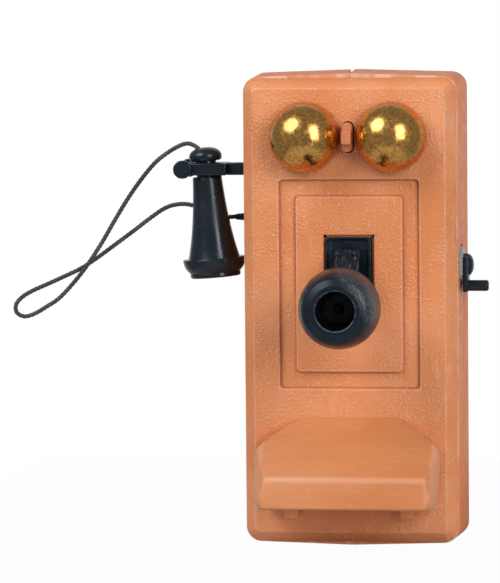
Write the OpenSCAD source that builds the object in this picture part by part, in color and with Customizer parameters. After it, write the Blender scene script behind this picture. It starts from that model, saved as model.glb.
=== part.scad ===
// Small moulded wall telephone with a crank, two bells, a hung receiver,
// a tilting transmitter and a sloping writing shelf. Millimetres.
// +Z is up as it hangs, the front faces -Y and the back lies on y = 0.
// The origin is the hanging hole, in the middle of the back face.

/* [Case] */
// Width of the front cover
case_w = 45.8; // [44:0.2:52]
// Height of the front cover
case_h = 100; // [96:0.5:110]
// Depth from the back face to the front face
case_d = 20.5; // [18.5:0.25:26]
// Depth of the front cover, from its face to the parting line
cover_d = 3.2; // [3:0.1:4.5]
// Width and depth of the bevel around the front face
bevel = 2.2; // [1.2:0.1:2.8]
// Corner radius of the front cover
corner_r = 3.2; // [2.6:0.1:4.5]
// Step of the side shells outside the cover at the parting line
lip = 0.25; // [0.1:0.05:0.5]
// Outward draft of the side shells at the back
draft = 0.6; // [0.2:0.1:0.9]
// Bow of the top and bottom walls at the middle
bow = 0.7; // [0.2:0.1:1.2]
// Wall of the side shells at the parting line
wall_t = 1.8; // [1.2:0.1:2.2]
// Thickness of the front wall
face_t = 1.8; // [1.6:0.1:2.2]
// Thickness of the back plate
back_t = 1.8; // [1.4:0.1:2.6]
// Gap between the side shells at the back, where they splay apart
seam_w = 0.8; // [0.4:0.1:1.4]
// Height of the hanging hole above the middle of the case
hang_z = 30; // [22:1:34]
// Radius of the hanging hole
hang_r = 1.6; // [1.2:0.1:2.2]

/* [Front panel] */
// Width of the sunk border
border_w = 30.3; // [29:0.1:33]
// Height of the sunk border
border_h = 45.1; // [43:0.1:48]
// Depth of the sunk border
border_deep = 0.9; // [0.4:0.1:1.1]
// Width of the raised panel
panel_w = 23; // [20:0.1:25]
// Height of the raised panel
panel_h = 37.7; // [35:0.1:40]
// Height of the panel's middle above the middle of the case
panel_z = 5.8; // [4:0.1:8]
// Corner radius of the panel
panel_r = 0.7; // [0.3:0.1:1.5]
// Width of the transmitter window
window_w = 11; // [10.4:0.1:12]
// Height of the transmitter window
window_h = 14; // [13:0.1:15]
// Height of the window's top edge above the middle of the case
window_top = 16.5; // [15:0.1:18]

/* [Bells] */
// Outer radius of a bell
bell_r = 7.55; // [6:0.05:8]
// Distance between the bell centres
bell_pitch = 18.6; // [18.4:0.1:21]
// Distance of the bell centres below the top of the cover
bell_drop = 12.6; // [11:0.1:14]
// Wall of a bell
bell_t = 0.6; // [0.4:0.05:0.8]
// Straight skirt below the dome
bell_skirt = 0.9; // [0.5:0.1:1.5]
// Gap between a bell's rim and the front face
bell_gap = 0.8; // [0.5:0.1:1.5]
// Radius of the hub inside a bell
hub_r = 1.5; // [1.2:0.1:1.8]
// Radius of a bell post
post_r = 0.75; // [0.6:0.05:0.9]

/* [Striker] */
// Width of the striker's head
striker_w = 2.2; // [1.6:0.1:2.2]
// Height of the striker's head
striker_h = 6.3; // [5:0.1:7]
// Height of the raised middle of the head
striker_nose_h = 2.9; // [2:0.1:4]
// How far the head stands out of the front face
striker_out = 4.6; // [3:0.1:5]
// Radius of the striker's pin
striker_pin_r = 0.5; // [0.4:0.05:0.6]
// Thickness of the flicker wire
wire_t = 1; // [0.7:0.1:1.3]

/* [Transmitter] */
// Width of the bracket in the window
bracket_w = 9.9; // [9:0.1:10.2]
// Width of the hinge barrel
barrel_w = 5.3; // [4.5:0.1:6]
// Radius of the hinge barrel
barrel_r = 1.35; // [1.2:0.05:1.6]
// Width of the tongue between the hinge ears
tongue_w = 2.3; // [1.6:0.1:2.8]
// Radius of the hinge pin
hinge_pin_r = 0.6; // [0.4:0.05:0.7]
// Height of the hinge above the middle of the case
hinge_z = 12.1; // [11.5:0.1:12.6]
// Distance of the hinge pin in front of the face
hinge_out = 1.6; // [1.5:0.1:2.5]
// Thickness of the transmitter arm
arm_t = 2.4; // [1.8:0.1:3]
// Largest radius of the transmitter cup
cup_r = 8.6; // [7.5:0.1:9.5]
// Distance of the cup's widest ring in front of the face
cup_out = 17; // [15:0.25:20]
// Depth of the cup behind its widest ring
cup_back = 4.6; // [4:0.1:6]
// Height of the transmitter's axis above the middle of the case
cup_z = 2; // [0:0.1:3]
// Length of the mouthpiece in front of the widest ring
mouth_l = 9; // [8:0.25:12]
// Outer radius of the mouthpiece's lip
lip_r = 5.7; // [5.2:0.05:6.5]
// Radius of the mouthpiece's bore
mouth_r = 4.1; // [3.5:0.05:4.6]
// Wall of the cup
cup_t = 1.2; // [0.9:0.1:1.6]

/* [Receiver] */
// Gap between the ear cap and the left wall
ear_gap = 0.22; // [0.2:0.02:2]
// Depth of the receiver's axis in front of the back face
receiver_y = 8.5; // [8.3:0.1:11]
// Height of the neck's middle above the middle of the case
neck_z = 30.2; // [28:0.1:32]
// Lean of the receiver towards the case
lean = 4.5; // [3:0.5:7]
// Radius of the neck
neck_r = 2.25; // [1.8:0.05:2.5]
// Length of the neck
neck_l = 4.2; // [4.1:0.1:5]
// Radius of the top cap
cap_r = 3.6; // [3.4:0.1:3.8]
// Height of the top cap
cap_h = 2.6; // [2:0.1:3.5]
// Radius of the body below the neck
body_top_r = 3.2; // [2.8:0.1:3.3]
// Radius of the body at the ear cap
body_low_r = 5.6; // [5:0.1:5.8]
// Length of the body below the neck
body_l = 17.4; // [15:0.2:19]
// Radius of the ear cap
ear_r = 6.85; // [6:0.05:7.2]
// Height of the ear cap
ear_h = 3.3; // [2:0.1:3.8]
// Wall of the receiver
receiver_t = 1.1; // [0.8:0.1:1.4]

/* [Hook] */
// Height of the hook arm
hook_h = 2.7; // [2:0.1:2.8]
// Thickness of the hook arm inside the case
hook_t = 3; // [2:0.1:3.4]
// Thickness of one prong
prong_t = 1.4; // [1.3:0.1:1.8]
// Length of the prongs beyond the receiver's axis
prong_l = 4.6; // [4:0.1:6]
// Radius of the discs on the prong tips
tip_r = 2; // [1.6:0.1:2.1]
// Radius of the hook's pin
hook_pin_r = 0.8; // [0.6:0.05:1]
// Distance of the hook's pin inside the left wall
hook_pin_in = 2.6; // [2.4:0.1:4]

/* [Crank] */
// Height of the crank shaft above the middle of the case
crank_z = 9.4; // [8:0.1:11]
// Depth of the crank shaft in front of the back face
crank_y = 11; // [10.6:0.1:11.6]
// Radius of the crank shaft
shaft_r = 1; // [0.8:0.05:1.2]
// Throw of the crank
throw = 4.5; // [4:0.1:6]
// Radius of the crank's hub
crank_hub_r = 2.5; // [2.2:0.1:3]
// Thickness of the crank's hub
crank_hub_t = 2.2; // [1.6:0.1:2.6]
// Thickness of the crank's arm
crank_arm_t = 1.3; // [1:0.1:1.5]
// Radius of the handle
handle_r = 1.2; // [1:0.05:1.4]
// Length of the handle beyond the arm
handle_l = 4.1; // [3:0.1:6]
// Radius over the wheel's teeth
wheel_r = 4; // [3.6:0.05:4.1]
// Depth of the wheel's teeth
tooth_d = 0.45; // [0.3:0.05:0.6]
// Number of teeth
teeth = 24; // [12:12:36]

/* [Writing shelf] */
// Width of the shelf's back edge
shelf_back_w = 21.6; // [18:0.2:26]
// Full width of the shelf
shelf_w = 39.6; // [36:0.2:42]
// Height of the shelf's underside above the bottom of the cover
shelf_rise = 8.2; // [7:0.1:9]
// Reach of the slope in front of the face
slope_out = 12.5; // [10:0.25:15]
// Drop of the slope
slope_drop = 12.7; // [10:0.1:14]
// Reach of the front lip beyond the slope
front_out = 2; // [2:0.1:4]
// Drop of the front lip
front_drop = 6.4; // [5:0.1:7]
// Distance between the two feet
foot_pitch = 25; // [20:0.5:30]
// Width of a foot
foot_w = 3.4; // [2.5:0.1:4.5]
// Height of a foot below the shelf
foot_h = 2.8; // [2:0.1:3.5]

/* [Cord] */
// Diameter of the twisted cord
cord_d = 0.95; // [0.7:0.05:1.2]
// Height of the cord's outlet above the middle of the case
outlet_z = 19.4; // [17:0.1:21]
// Depth of the cord's outlet in front of the back face
outlet_y = 3.2; // [3:0.1:3.4]
// Length of the strain relief outside the wall
sleeve_l = 3.2; // [2:0.1:4]
// Radius of the strain relief at the wall
sleeve_r = 0.95; // [0.8:0.05:1.1]

/* [Clearances] */
// Gap around pieces that are fixed in place
seat_gap = 0.03; // [0.02:0.01:0.08]
// Radial gap of a turning pin or shaft
run_gap = 0.06; // [0.03:0.01:0.09]
// Gap between pieces that move past each other
move_gap = 0.4; // [0.3:0.05:0.6]

/* [Hidden] */
$fn = 96;
soft_fn = 32;                     // corners of blended shapes
thin = 0.01;                      // thickness of a blend's end plate
past = 1;                         // how far a cutter runs past a face

front_y = -case_d;                // the front face
part_y = -case_d + cover_d;       // the parting line
inner_y = front_y + face_t;       // inside of the front wall
cavity_w = case_w - 2 * (wall_t - lip);
cavity_h = case_h - 2 * (wall_t - lip);
cavity_r = 1.6;
shell_front_w = case_w + 2 * lip;
shell_front_h = case_h + 2 * lip;
shell_back_w = shell_front_w + 2 * draft;
shell_back_h = shell_front_h + 2 * draft;
cover_t = 1.6;                    // side wall of the cover

// Screws that hold the case together
screw_r = 0.8;
screw_head_r = 1.6;
screw_head_h = 0.9;
screw_in = 5.2;                   // distance of a screw from the cavity's walls
boss_r = 2.1;
screw_x = cavity_w / 2 - screw_in;
screw_z = cavity_h / 2 - screw_in;
bite = 7;                         // thread length in a boss

// Bells
bell_z = case_h / 2 - bell_drop;
bell_rim_y = front_y - bell_gap;
dome_y = bell_rim_y - bell_skirt;
bell_in_r = bell_r - bell_t;
hub_l = 3.4;                      // hub length under the dome's crown
hub_y = dome_y - bell_in_r + hub_l;
post_shoulder_r = hub_r - 0.2;
post_head_t = 0.7;
post_head_r = 1.5;

// Striker
striker_y = inner_y + 1.6;        // its pin, behind the front wall
striker_hub_t = 0.6;              // wall around the pin
striker_hub_r = striker_pin_r + striker_hub_t;
nose_l = 1.8;                     // length of the raised middle
stub_l = 2.4;                     // stub that holds the wire
lug_t = 1;
lug_gap = 0.25;
slot_w = striker_w + 2 * move_gap;
slot_h = striker_h + 2 * move_gap;
wire_y = -crank_y;                // depth of the flicker wire's lower run
flick_gap = 0.2;                  // between the flicker and the tips of the teeth
wire_z = crank_z + wheel_r + flick_gap;
wire_over = 0.6;                  // how far the flicker reaches over the wheel

// Transmitter
bracket_front = front_y + 0.3;
flange_t = 1.2;
flange_w = window_w + 3.4;
flange_h = window_h + 6.4;
window_z = window_top - window_h / 2;
bracket_gap = 0.8;                // gap over the bracket in the window
bracket_h = window_h - 2 * bracket_gap;
bracket_screw_r = 0.5;
bracket_screw_z = window_h / 2 + 1.6;
bracket_screw_l = 1.2;            // screw length in the front wall
bracket_head_t = 0.7;
pocket_deep = 0.4;                // pocket behind the tongue
pocket_low = 1.6;
boss_l = 2.2;                     // boss on the cup's back
boss_out_r = 3;
hinge_y = front_y - hinge_out;
cup_y = front_y - cup_out;
arm_run = cup_out - hinge_out - cup_back + 0.8;
arm_drop = hinge_z - cup_z;
arm_len = norm([arm_run, arm_drop]);
arm_angle = atan2(arm_drop, arm_run);
arm_start = 2.6;                  // where the arm leaves the hinge barrel
floor_t = 1.1;                    // floor between cup and mouthpiece bore
bulb_r = 1.1;

// Receiver, along its own axis with 0 at the neck's middle
receiver_x = shell_back_w / 2 + ear_gap + ear_r * cos(lean)
             + (neck_l / 2 + body_l + ear_h) * sin(lean);
neck_top = neck_l / 2;
neck_low = -neck_l / 2;
body_low = neck_low - body_l;
ear_low = body_low - ear_h;
ring_h = 0.9;
ring_r = body_low_r - 0.2;
disc_t = 0.5;
disc_gap = 0.15;                  // the body narrows above the disc

// Hook
fork_in = neck_r + move_gap;      // half the gap between the prongs
fork_out = fork_in + prong_t;
tip_in = cap_r + 0.3;             // inner face of a tip disc
hook_pin_x = -(cavity_w / 2 - hook_pin_in);
hook_slot = 0.9;                  // gap over and under the arm in the wall
hook_z = neck_z;
hook_boss_r = 2;
hook_head_r = 1.7;
hook_head_t = 0.8;
fork_root = 2.2;                  // length of the solid root before the prongs

// Crank
wheel_inset = 1.45;
wheel_in = cavity_w / 2 - wheel_inset;
ring_t = 1.2;                     // width of the inner ring of teeth
rim_t = 0.9;                      // width of the outer ring of teeth
crank_face = shell_back_w / 2 + 0.1;
wheel_out = crank_face;
bearing_t = 2.6;
bearing_wall = 1.4;
shaft_over = 1.4;                 // shaft length past the bearing
bearing_out = wheel_in - 0.2;
bearing_in = bearing_out - bearing_t;
clip_t = 0.6;
clip_wall = 0.8;
arm_edge = 0.5;                   // arm's width beyond the handle
notch_gap = 0.45;
handle_end = crank_face + crank_arm_t + handle_l;

// Shelf
shoulder = 0.47;                  // where along the slope the shelf is full width
edge_r = 0.5;
shelf_low = case_h / 2 - shelf_rise;
shelf_top = shelf_low - slope_drop - front_drop;
foot_deep = 3.4;                  // depth of a foot
tab_l = face_t + 0.5;
tab_in = 2;                       // tab length inside the shelf
tab_h = 2;

// Cord: hand-chosen points from the outlet to the receiver's cap. Each is
// the distance outside the left wall, the depth, and the height above the middle.
collar_t = 1.2;                   // collar of the strain relief inside the wall
collar_over = 0.3;
cord_sides = 8;
CORD_BENDS = [
    [3.25, -3.2, 19.4], [6.25, -3.2, 19.4], [9.75, -3.1, 20.7], [13.25, -2.9, 22.0],
    [16.25, -2.5, 22.1], [19.25, -1.9, 21.2], [22.75, -1.2, 18.9], [26.25, -0.7, 16.3],
    [30.25, -0.5, 13.4], [34.25, -0.5, 10.5], [38.25, -0.5, 7.9], [42.25, -0.5, 6.0],
    [46.05, -0.5, 4.3], [49.25, -0.5, 2.9], [51.65, -0.5, 1.5], [53.15, -0.5, -0.2],
    [53.05, -0.5, -2.0], [51.35, -0.5, -2.9], [49.05, -0.5, -2.3], [46.25, -0.6, -0.7],
    [43.25, -0.9, 1.3], [39.75, -1.5, 4.9], [36.55, -1.8, 8.9], [33.25, -2.1, 13.8],
    [30.25, -2.7, 18.7], [27.25, -3.6, 23.3], [24.05, -4.6, 27.6], [20.65, -5.7, 31.4],
    [17.45, -6.7, 33.8], [14.85, -7.5, 35.2], [13.15, -8.1, 35.7], [11.75, -8.45, 35.4],
    [10.68, -8.5, 34.7], [9.78, -8.5, 33.8]
];
CORD = [for (p = CORD_BENDS) [-shell_back_w / 2 - p[0], p[1], p[2]]];

// ---------- shared shapes ----------

// Everything is placed from the middle of the case
module at_case() { translate([0, 0, -hang_z]) children(); }

module rounded(w, h, r) {
    square([w - 2 * r, h], center = true);
    square([w, h - 2 * r], center = true);
    for (x = [-1, 1], z = [-1, 1])
        translate([x * (w / 2 - r), z * (h / 2 - r)]) circle(r);
}

// A flat outline in X and Z, from depth y0 back to depth y1
module slab(y0, y1) {
    translate([0, y1, 0]) rotate([90, 0, 0]) linear_extrude(y1 - y0) children();
}

module rod_y(r, y0, y1) { translate([0, y0, 0]) rotate([-90, 0, 0]) cylinder(h = y1 - y0, r = r); }
module rod_x(r, x0, x1) { translate([x0, 0, 0]) rotate([0, 90, 0]) cylinder(h = x1 - x0, r = r); }

module block(x, y, z) {
    translate([x[0], y[0], z[0]]) cube([x[1] - x[0], y[1] - y[0], z[1] - z[0]]);
}

module screw_spots() {
    for (x = [-1, 1], z = [-1, 1]) translate([x * screw_x, 0, z * screw_z]) children();
}

module bell_spots() {
    for (x = [-1, 1]) translate([x * bell_pitch / 2, 0, bell_z]) children();
}

module foot_spots() {
    for (x = [-1, 1]) translate([x * foot_pitch / 2, 0, -shelf_low]) children();
}

// ---------- case ----------

// Outline of the side shells with bowed top and bottom
module bowed_plate(w, h, y) {
    translate([0, y, 0]) rotate([90, 0, 0]) linear_extrude(thin) {
        rounded(w, h, corner_r, $fn = soft_fn);
        polygon([[-w / 2 + corner_r, -h / 2], [0, -h / 2 - bow], [w / 2 - corner_r, -h / 2],
                 [w / 2 - corner_r, h / 2], [0, h / 2 + bow], [-w / 2 + corner_r, h / 2]]);
    }
}

module shell_ring() {
    difference() {
        hull() {
            bowed_plate(shell_back_w, shell_back_h, 0);
            bowed_plate(shell_front_w, shell_front_h, part_y + thin);
        }
        slab(part_y - past, past) rounded(cavity_w, cavity_h, cavity_r);
    }
}

// One half of the ring; side is 1 for the left half and -1 for the right.
// The halves meet at the parting line and splay apart towards the back.
module half_shell(side) {
    splay = atan2((seam_w - seat_gap) / 2, -part_y);
    difference() {
        shell_ring();
        translate([-side * seat_gap / 2, part_y, 0]) rotate([0, 0, side * splay])
            translate([side * case_w, 0, 0])
                cube([2 * case_w, 3 * case_d, 2 * case_h], center = true);
    }
}

module left_shell() {
    color("#c8855a") at_case() difference() {
        half_shell(1);
        block([-case_w, -cavity_w / 2 + past],
              [-receiver_y - hook_t / 2 - move_gap, -receiver_y + hook_t / 2 + move_gap],
              [hook_z - hook_h / 2 - hook_slot, hook_z + hook_h / 2 + hook_slot]);
        translate([0, -outlet_y, outlet_z]) rod_x(sleeve_r + seat_gap, -case_w, -cavity_w / 2 + past);
    }
}

module right_shell() {
    color("#c8855a") at_case() difference() {
        half_shell(-1);
        translate([0, -crank_y, crank_z]) rod_x(wheel_r + notch_gap, cavity_w / 2 - past, case_w);
    }
}

module back_plate() {
    color("#b9764e") at_case() {
        difference() {
            slab(-back_t, 0) rounded(cavity_w - 2 * seat_gap, cavity_h - 2 * seat_gap, cavity_r);
            translate([0, 0, hang_z]) rod_y(hang_r, -back_t - past, past);
            screw_spots() {
                rod_y(screw_r + seat_gap, -back_t - past, past);
                rod_y(screw_head_r + seat_gap, -screw_head_h, past);
            }
        }
        translate([hook_pin_x, 0, hook_z]) difference() {
            rod_y(hook_boss_r, -receiver_y + hook_t / 2 + run_gap, -back_t);
            rod_y(hook_pin_r + seat_gap, -receiver_y, -back_t);
        }
    }
}

module cover_shape() {
    hull() {
        slab(front_y, front_y + thin)
            rounded(case_w - 2 * bevel, case_h - 2 * bevel, corner_r - bevel / 2, $fn = soft_fn);
        slab(front_y + bevel, part_y) rounded(case_w, case_h, corner_r, $fn = soft_fn);
    }
}

module front_cover() {
    color("#dc956d") at_case() {
        difference() {
            cover_shape();
            // hollow behind the face
            slab(inner_y, past)
                rounded(case_w - 2 * (bevel + cover_t), case_h - 2 * (bevel + cover_t), cavity_r);
            // sunk border around the raised panel
            translate([0, 0, panel_z]) difference() {
                slab(front_y - past, front_y + border_deep) rounded(border_w, border_h, panel_r);
                slab(front_y - 2 * past, front_y + 2 * past) rounded(panel_w, panel_h, panel_r);
            }
            translate([0, 0, window_z])
                slab(front_y - past, inner_y + past) square([window_w, window_h], center = true);
            translate([0, 0, window_z]) for (z = [-1, 1]) translate([0, 0, z * bracket_screw_z])
                rod_y(bracket_screw_r + seat_gap, inner_y - bracket_screw_l - 0.1, inner_y + past);
            bell_spots() rod_y(post_r + seat_gap, front_y - past, inner_y + past);
            // slot for the striker's head
            translate([0, 0, bell_z])
                slab(front_y - past, inner_y + past) rounded(slot_w, slot_h, slot_w / 2 - thin);
            foot_spots() block([-foot_w / 2 - seat_gap, foot_w / 2 + seat_gap],
                [front_y - past, inner_y + past], [-seat_gap, tab_h + seat_gap]);
        }
        // bosses for the case screws
        screw_spots() difference() {
            rod_y(boss_r, inner_y, -back_t);
            rod_y(screw_r + seat_gap, -back_t - bite, 0);
        }
        // lugs that carry the striker's pin
        for (z = [-1, 1]) translate([0, striker_y, bell_z + z * (striker_h / 2 + lug_gap + lug_t / 2)])
            difference() {
                union() {
                    translate([-striker_hub_r, inner_y - striker_y, -lug_t / 2])
                        cube([2 * striker_hub_r, striker_y - inner_y, lug_t]);
                    translate([0, 0, -lug_t / 2]) cylinder(h = lug_t, r = striker_hub_r);
                }
                translate([0, 0, -lug_t]) cylinder(h = 2 * lug_t, r = striker_pin_r + seat_gap);
            }
    }
}

module case_screws() {
    color("silver") at_case() screw_spots() difference() {
        union() {
            rod_y(screw_r, -back_t - bite + past, -screw_head_h);
            rod_y(screw_head_r, -screw_head_h, -0.1);
        }
        // slot of the head
        block([-screw_head_r - past, screw_head_r + past], [-0.5, past], [-0.2, 0.2]);
    }
}

// ---------- bells ----------

module bell() {
    difference() {
        union() {
            translate([0, dome_y, 0]) rotate([90, 0, 0]) rotate_extrude() difference() {
                intersection() {
                    circle(bell_r);
                    square(bell_r);
                }
                circle(bell_in_r);
            }
            difference() {
                rod_y(bell_r, dome_y, bell_rim_y);
                rod_y(bell_in_r, dome_y - past, bell_rim_y + past);
            }
            rod_y(hub_r, dome_y - bell_in_r - bell_t / 2, hub_y);
        }
        rod_y(post_r + seat_gap, dome_y - bell_in_r + bell_t, hub_y + past);
    }
}

module left_bell() { color("#b8943c") at_case() translate([-bell_pitch / 2, 0, bell_z]) bell(); }
module right_bell() { color("#b8943c") at_case() translate([bell_pitch / 2, 0, bell_z]) bell(); }

module bell_posts() {
    color("#b8943c") at_case() bell_spots() {
        rod_y(post_r, dome_y - bell_in_r + bell_t + 0.1, inner_y + post_head_t);
        rod_y(post_shoulder_r, hub_y, front_y);
        rod_y(post_head_r, inner_y, inner_y + post_head_t);
    }
}

// ---------- striker ----------

module striker_pin() {
    color("silver") at_case() translate([0, striker_y, bell_z - striker_h / 2 - lug_gap - lug_t])
        cylinder(h = striker_h + 2 * lug_gap + 2 * lug_t, r = striker_pin_r);
}

module striker_head() {
    color("#d08a60") at_case() translate([0, 0, bell_z]) difference() {
        union() {
            slab(front_y - striker_out + nose_l, striker_y)
                rounded(striker_w, striker_h, striker_w / 2 - thin);
            slab(front_y - striker_out, front_y - striker_out + nose_l + thin)
                rounded(striker_w, striker_nose_h, striker_w / 4);
            translate([0, striker_y, -striker_h / 2]) cylinder(h = striker_h, r = striker_hub_r);
            // stub that holds the flicker wire
            block([-wire_t, wire_t], [striker_y, striker_y + stub_l], [-wire_t, wire_t]);
        }
        translate([0, striker_y, -striker_h]) cylinder(h = 2 * striker_h, r = striker_pin_r + run_gap);
    }
}

// Bent wire from the striker down and across to the toothed wheel
module striker_wire() {
    half = wire_t / 2;
    color("silver") at_case() {
        block([-half, half], [striker_y + stub_l, wire_y + half], [bell_z - half, bell_z + half]);
        block([-half, half], [wire_y - half, wire_y + half], [wire_z, bell_z - half]);
        block([half, wheel_in + wire_over], [wire_y - half, wire_y + half], [wire_z, wire_z + wire_t]);
    }
}

// ---------- transmitter ----------

module transmitter_bracket() {
    color("#2a2f36") at_case() translate([0, 0, window_z]) difference() {
        union() {
            slab(bracket_front, inner_y) rounded(bracket_w, bracket_h, 0.9);
            slab(inner_y, inner_y + flange_t) rounded(flange_w, flange_h, 0.9);
            // hinge ears
            for (x = [-1, 1]) translate([x * (barrel_w + tongue_w) / 4, 0, hinge_z - window_z]) {
                translate([0, hinge_y, 0]) rod_x(barrel_r, -ear_w() / 2, ear_w() / 2);
                block([-ear_w() / 2, ear_w() / 2], [hinge_y, bracket_front], [-barrel_r, barrel_r]);
            }
        }
        // pocket behind the tongue
        block([-tongue_w / 2 - run_gap, tongue_w / 2 + run_gap],
              [bracket_front - past, bracket_front + pocket_deep],
              [hinge_z - window_z - barrel_r - pocket_low,
               hinge_z - window_z + barrel_r + pocket_deep]);
        translate([0, hinge_y, hinge_z - window_z]) rod_x(hinge_pin_r + seat_gap, -barrel_w, barrel_w);
        for (z = [-1, 1]) translate([0, 0, z * bracket_screw_z])
            rod_y(bracket_screw_r + seat_gap, inner_y - past, inner_y + flange_t + past);
    }
}

function ear_w() = (barrel_w - tongue_w) / 2 - run_gap;

module bracket_screws() {
    color("silver") at_case() for (z = [-1, 1]) translate([0, 0, window_z + z * bracket_screw_z]) {
        rod_y(bracket_screw_r, inner_y - bracket_screw_l, inner_y + flange_t);
        rod_y(2 * bracket_screw_r, inner_y + flange_t, inner_y + flange_t + bracket_head_t);
    }
}

module hinge_pin() {
    color("#2a2f36") at_case() translate([0, hinge_y, hinge_z])
        rod_x(hinge_pin_r, -barrel_w / 2, barrel_w / 2);
}

module transmitter_arm() {
    color("#2a2f36") at_case() difference() {
        union() {
            translate([0, hinge_y, hinge_z]) {
                rod_x(barrel_r - run_gap, -tongue_w / 2 + run_gap, tongue_w / 2 - run_gap);
                rotate([arm_angle, 0, 0]) {
                    block([-tongue_w / 2 + run_gap, tongue_w / 2 - run_gap],
                          [-arm_start, 0], [-barrel_r + run_gap, barrel_r - run_gap]);
                    block([-barrel_w / 2, barrel_w / 2], [-arm_len, -arm_start],
                          [-arm_t / 2, arm_t / 2]);
                }
            }
            // boss against the cup's back
            translate([0, 0, cup_z]) rod_y(boss_out_r, cup_y + cup_back, cup_y + cup_back + boss_l);
        }
        translate([0, hinge_y, hinge_z]) rod_x(hinge_pin_r + run_gap, -barrel_w, barrel_w);
        translate([0, 0, cup_z]) rod_y(2 * cup_r, cup_y - cup_r, cup_y + cup_back);
    }
}

module transmitter_cup() {
    color("#2a2f36") at_case() translate([0, cup_y, cup_z]) rotate([90, 0, 0])
        rotate_extrude() polygon([
            [0, -cup_back], [3.4, -cup_back], [cup_r - 2, -cup_back + 1.2],
            [cup_r - 0.6, -cup_back / 2], [cup_r, -0.6], [cup_r, 0],
            [cup_r - cup_t, 0], [cup_r - cup_t, -0.8], [cup_r - 2.6, -cup_back + 2.3],
            [3, -cup_back + cup_t], [0, -cup_back + cup_t]]);
}

// Bell-shaped nose that narrows to a flat lip, with a deep bore
module mouthpiece() {
    color("#2a2f36") at_case() translate([0, cup_y, cup_z]) rotate([90, 0, 0])
        rotate_extrude() polygon([
            [0, 0], [cup_r, 0], [cup_r, 0.7],
            for (a = [0:15:75])
                [lip_r + 0.3 + (cup_r - lip_r - 0.45) * cos(a), 0.9 + (mouth_l - 2.4) * sin(a)],
            [lip_r, mouth_l - 0.4], [lip_r - 0.3, mouth_l], [mouth_r + 0.2, mouth_l],
            [mouth_r, mouth_l - 0.3], [mouth_r - 0.6, floor_t], [0, floor_t]]);
}

module diaphragm() {
    color("#3b4048") at_case() translate([0, cup_y - floor_t, cup_z]) rotate([90, 0, 0])
        intersection() {
            sphere(bulb_r);
            cylinder(h = bulb_r, r = 2 * bulb_r);
        }
}

// ---------- receiver ----------

module at_receiver() {
    at_case() translate([-receiver_x, -receiver_y, neck_z]) rotate([0, -lean, 0]) children();
}

module receiver_body() {
    color("#2a2f36") at_receiver() rotate_extrude() polygon([
        [0, neck_top], [neck_r, neck_top], [neck_r, neck_low], [body_top_r, neck_low],
        for (t = [0.25, 0.5, 0.75])
            [body_top_r + (body_low_r - body_top_r) * (0.45 * t + 0.55 * t * t), neck_low - t * body_l],
        [body_low_r, body_low], [body_low_r - receiver_t, body_low],
        [body_top_r - receiver_t, neck_low - 4 * receiver_t], [0, neck_low - 4 * receiver_t]]);
}

module receiver_cap() {
    color("#2a2f36") at_receiver() difference() {
        rotate_extrude() polygon([
            [0, neck_top], [cap_r - 0.3, neck_top], [cap_r, neck_top + 0.4],
            [cap_r, neck_top + 1.1], [cap_r - 0.5, neck_top + 1.8],
            [cap_r - 1.4, neck_top + cap_h - 0.2], [cap_r - 2, neck_top + cap_h],
            [0, neck_top + cap_h]]);
        // slanting hole for the cord
        translate([-0.6, 0, neck_top + 1.5]) rotate([0, lean - 45, 0])
            cylinder(h = cap_h, r = cord_d / 2 + 0.12);
    }
}

module ear_cap() {
    color("#2a2f36") at_receiver() difference() {
        union() {
            translate([0, 0, ear_low]) cylinder(h = ear_h, r = ear_r);
            translate([0, 0, ear_low - ring_h]) cylinder(h = ring_h + thin, r = ring_r);
        }
        // dished mouth and sound hole
        translate([0, 0, ear_low - ring_h - thin]) cylinder(h = ring_h, r1 = ring_r - 1, r2 = 2.4);
        translate([0, 0, ear_low - past]) cylinder(h = ear_h + 2 * past, r = 1.2);
    }
}

module ear_disc() {
    color("silver") at_receiver() translate([0, 0, body_low])
        cylinder(h = disc_t, r = body_low_r - receiver_t - disc_gap);
}

// ---------- hook ----------

module hook_arm() {
    root_x = -receiver_x + fork_in;
    tip_x = -receiver_x - prong_l;
    color("#2a2f36") at_case() translate([0, -receiver_y, hook_z]) difference() {
        union() {
            block([root_x + fork_root, hook_pin_x], [-hook_t / 2, hook_t / 2],
                  [-hook_h / 2, hook_h / 2]);
            translate([hook_pin_x, 0, 0]) rod_y(hook_boss_r, -hook_t / 2, hook_t / 2);
            block([tip_x, root_x + fork_root], [-fork_out, fork_out], [-hook_h / 2, hook_h / 2]);
            for (y = [-1, 1]) translate([tip_x, y * (tip_in + prong_t / 2), 0])
                rod_y(tip_r, -prong_t / 2, prong_t / 2);
        }
        // gap between the prongs
        block([tip_x - cap_r, -receiver_x], [-fork_in, fork_in], [-hook_h, hook_h]);
        translate([-receiver_x, 0, -hook_h]) cylinder(h = 2 * hook_h, r = fork_in);
        translate([hook_pin_x, 0, 0]) rod_y(hook_pin_r + run_gap, -hook_t, hook_t);
    }
}

module hook_pin() {
    color("silver") at_case() translate([hook_pin_x, 0, hook_z]) {
        rod_y(hook_pin_r, -receiver_y - hook_t / 2 - run_gap, -back_t);
        rod_y(hook_head_r, -receiver_y - hook_t / 2 - run_gap - hook_head_t,
              -receiver_y - hook_t / 2 - run_gap);
    }
}

// ---------- cord ----------

module cord_sleeve() {
    color("#33363b") at_case() translate([CORD[0][0], -outlet_y, outlet_z]) {
        x_in = -cavity_w / 2 - CORD[0][0] + collar_t;
        rotate([0, 90, 0]) cylinder(h = sleeve_l, r1 = cord_d / 2 + 0.12, r2 = sleeve_r);
        rod_x(sleeve_r, sleeve_l, x_in);
        rod_x(sleeve_r + collar_over, x_in - collar_t, x_in);
    }
}

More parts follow.
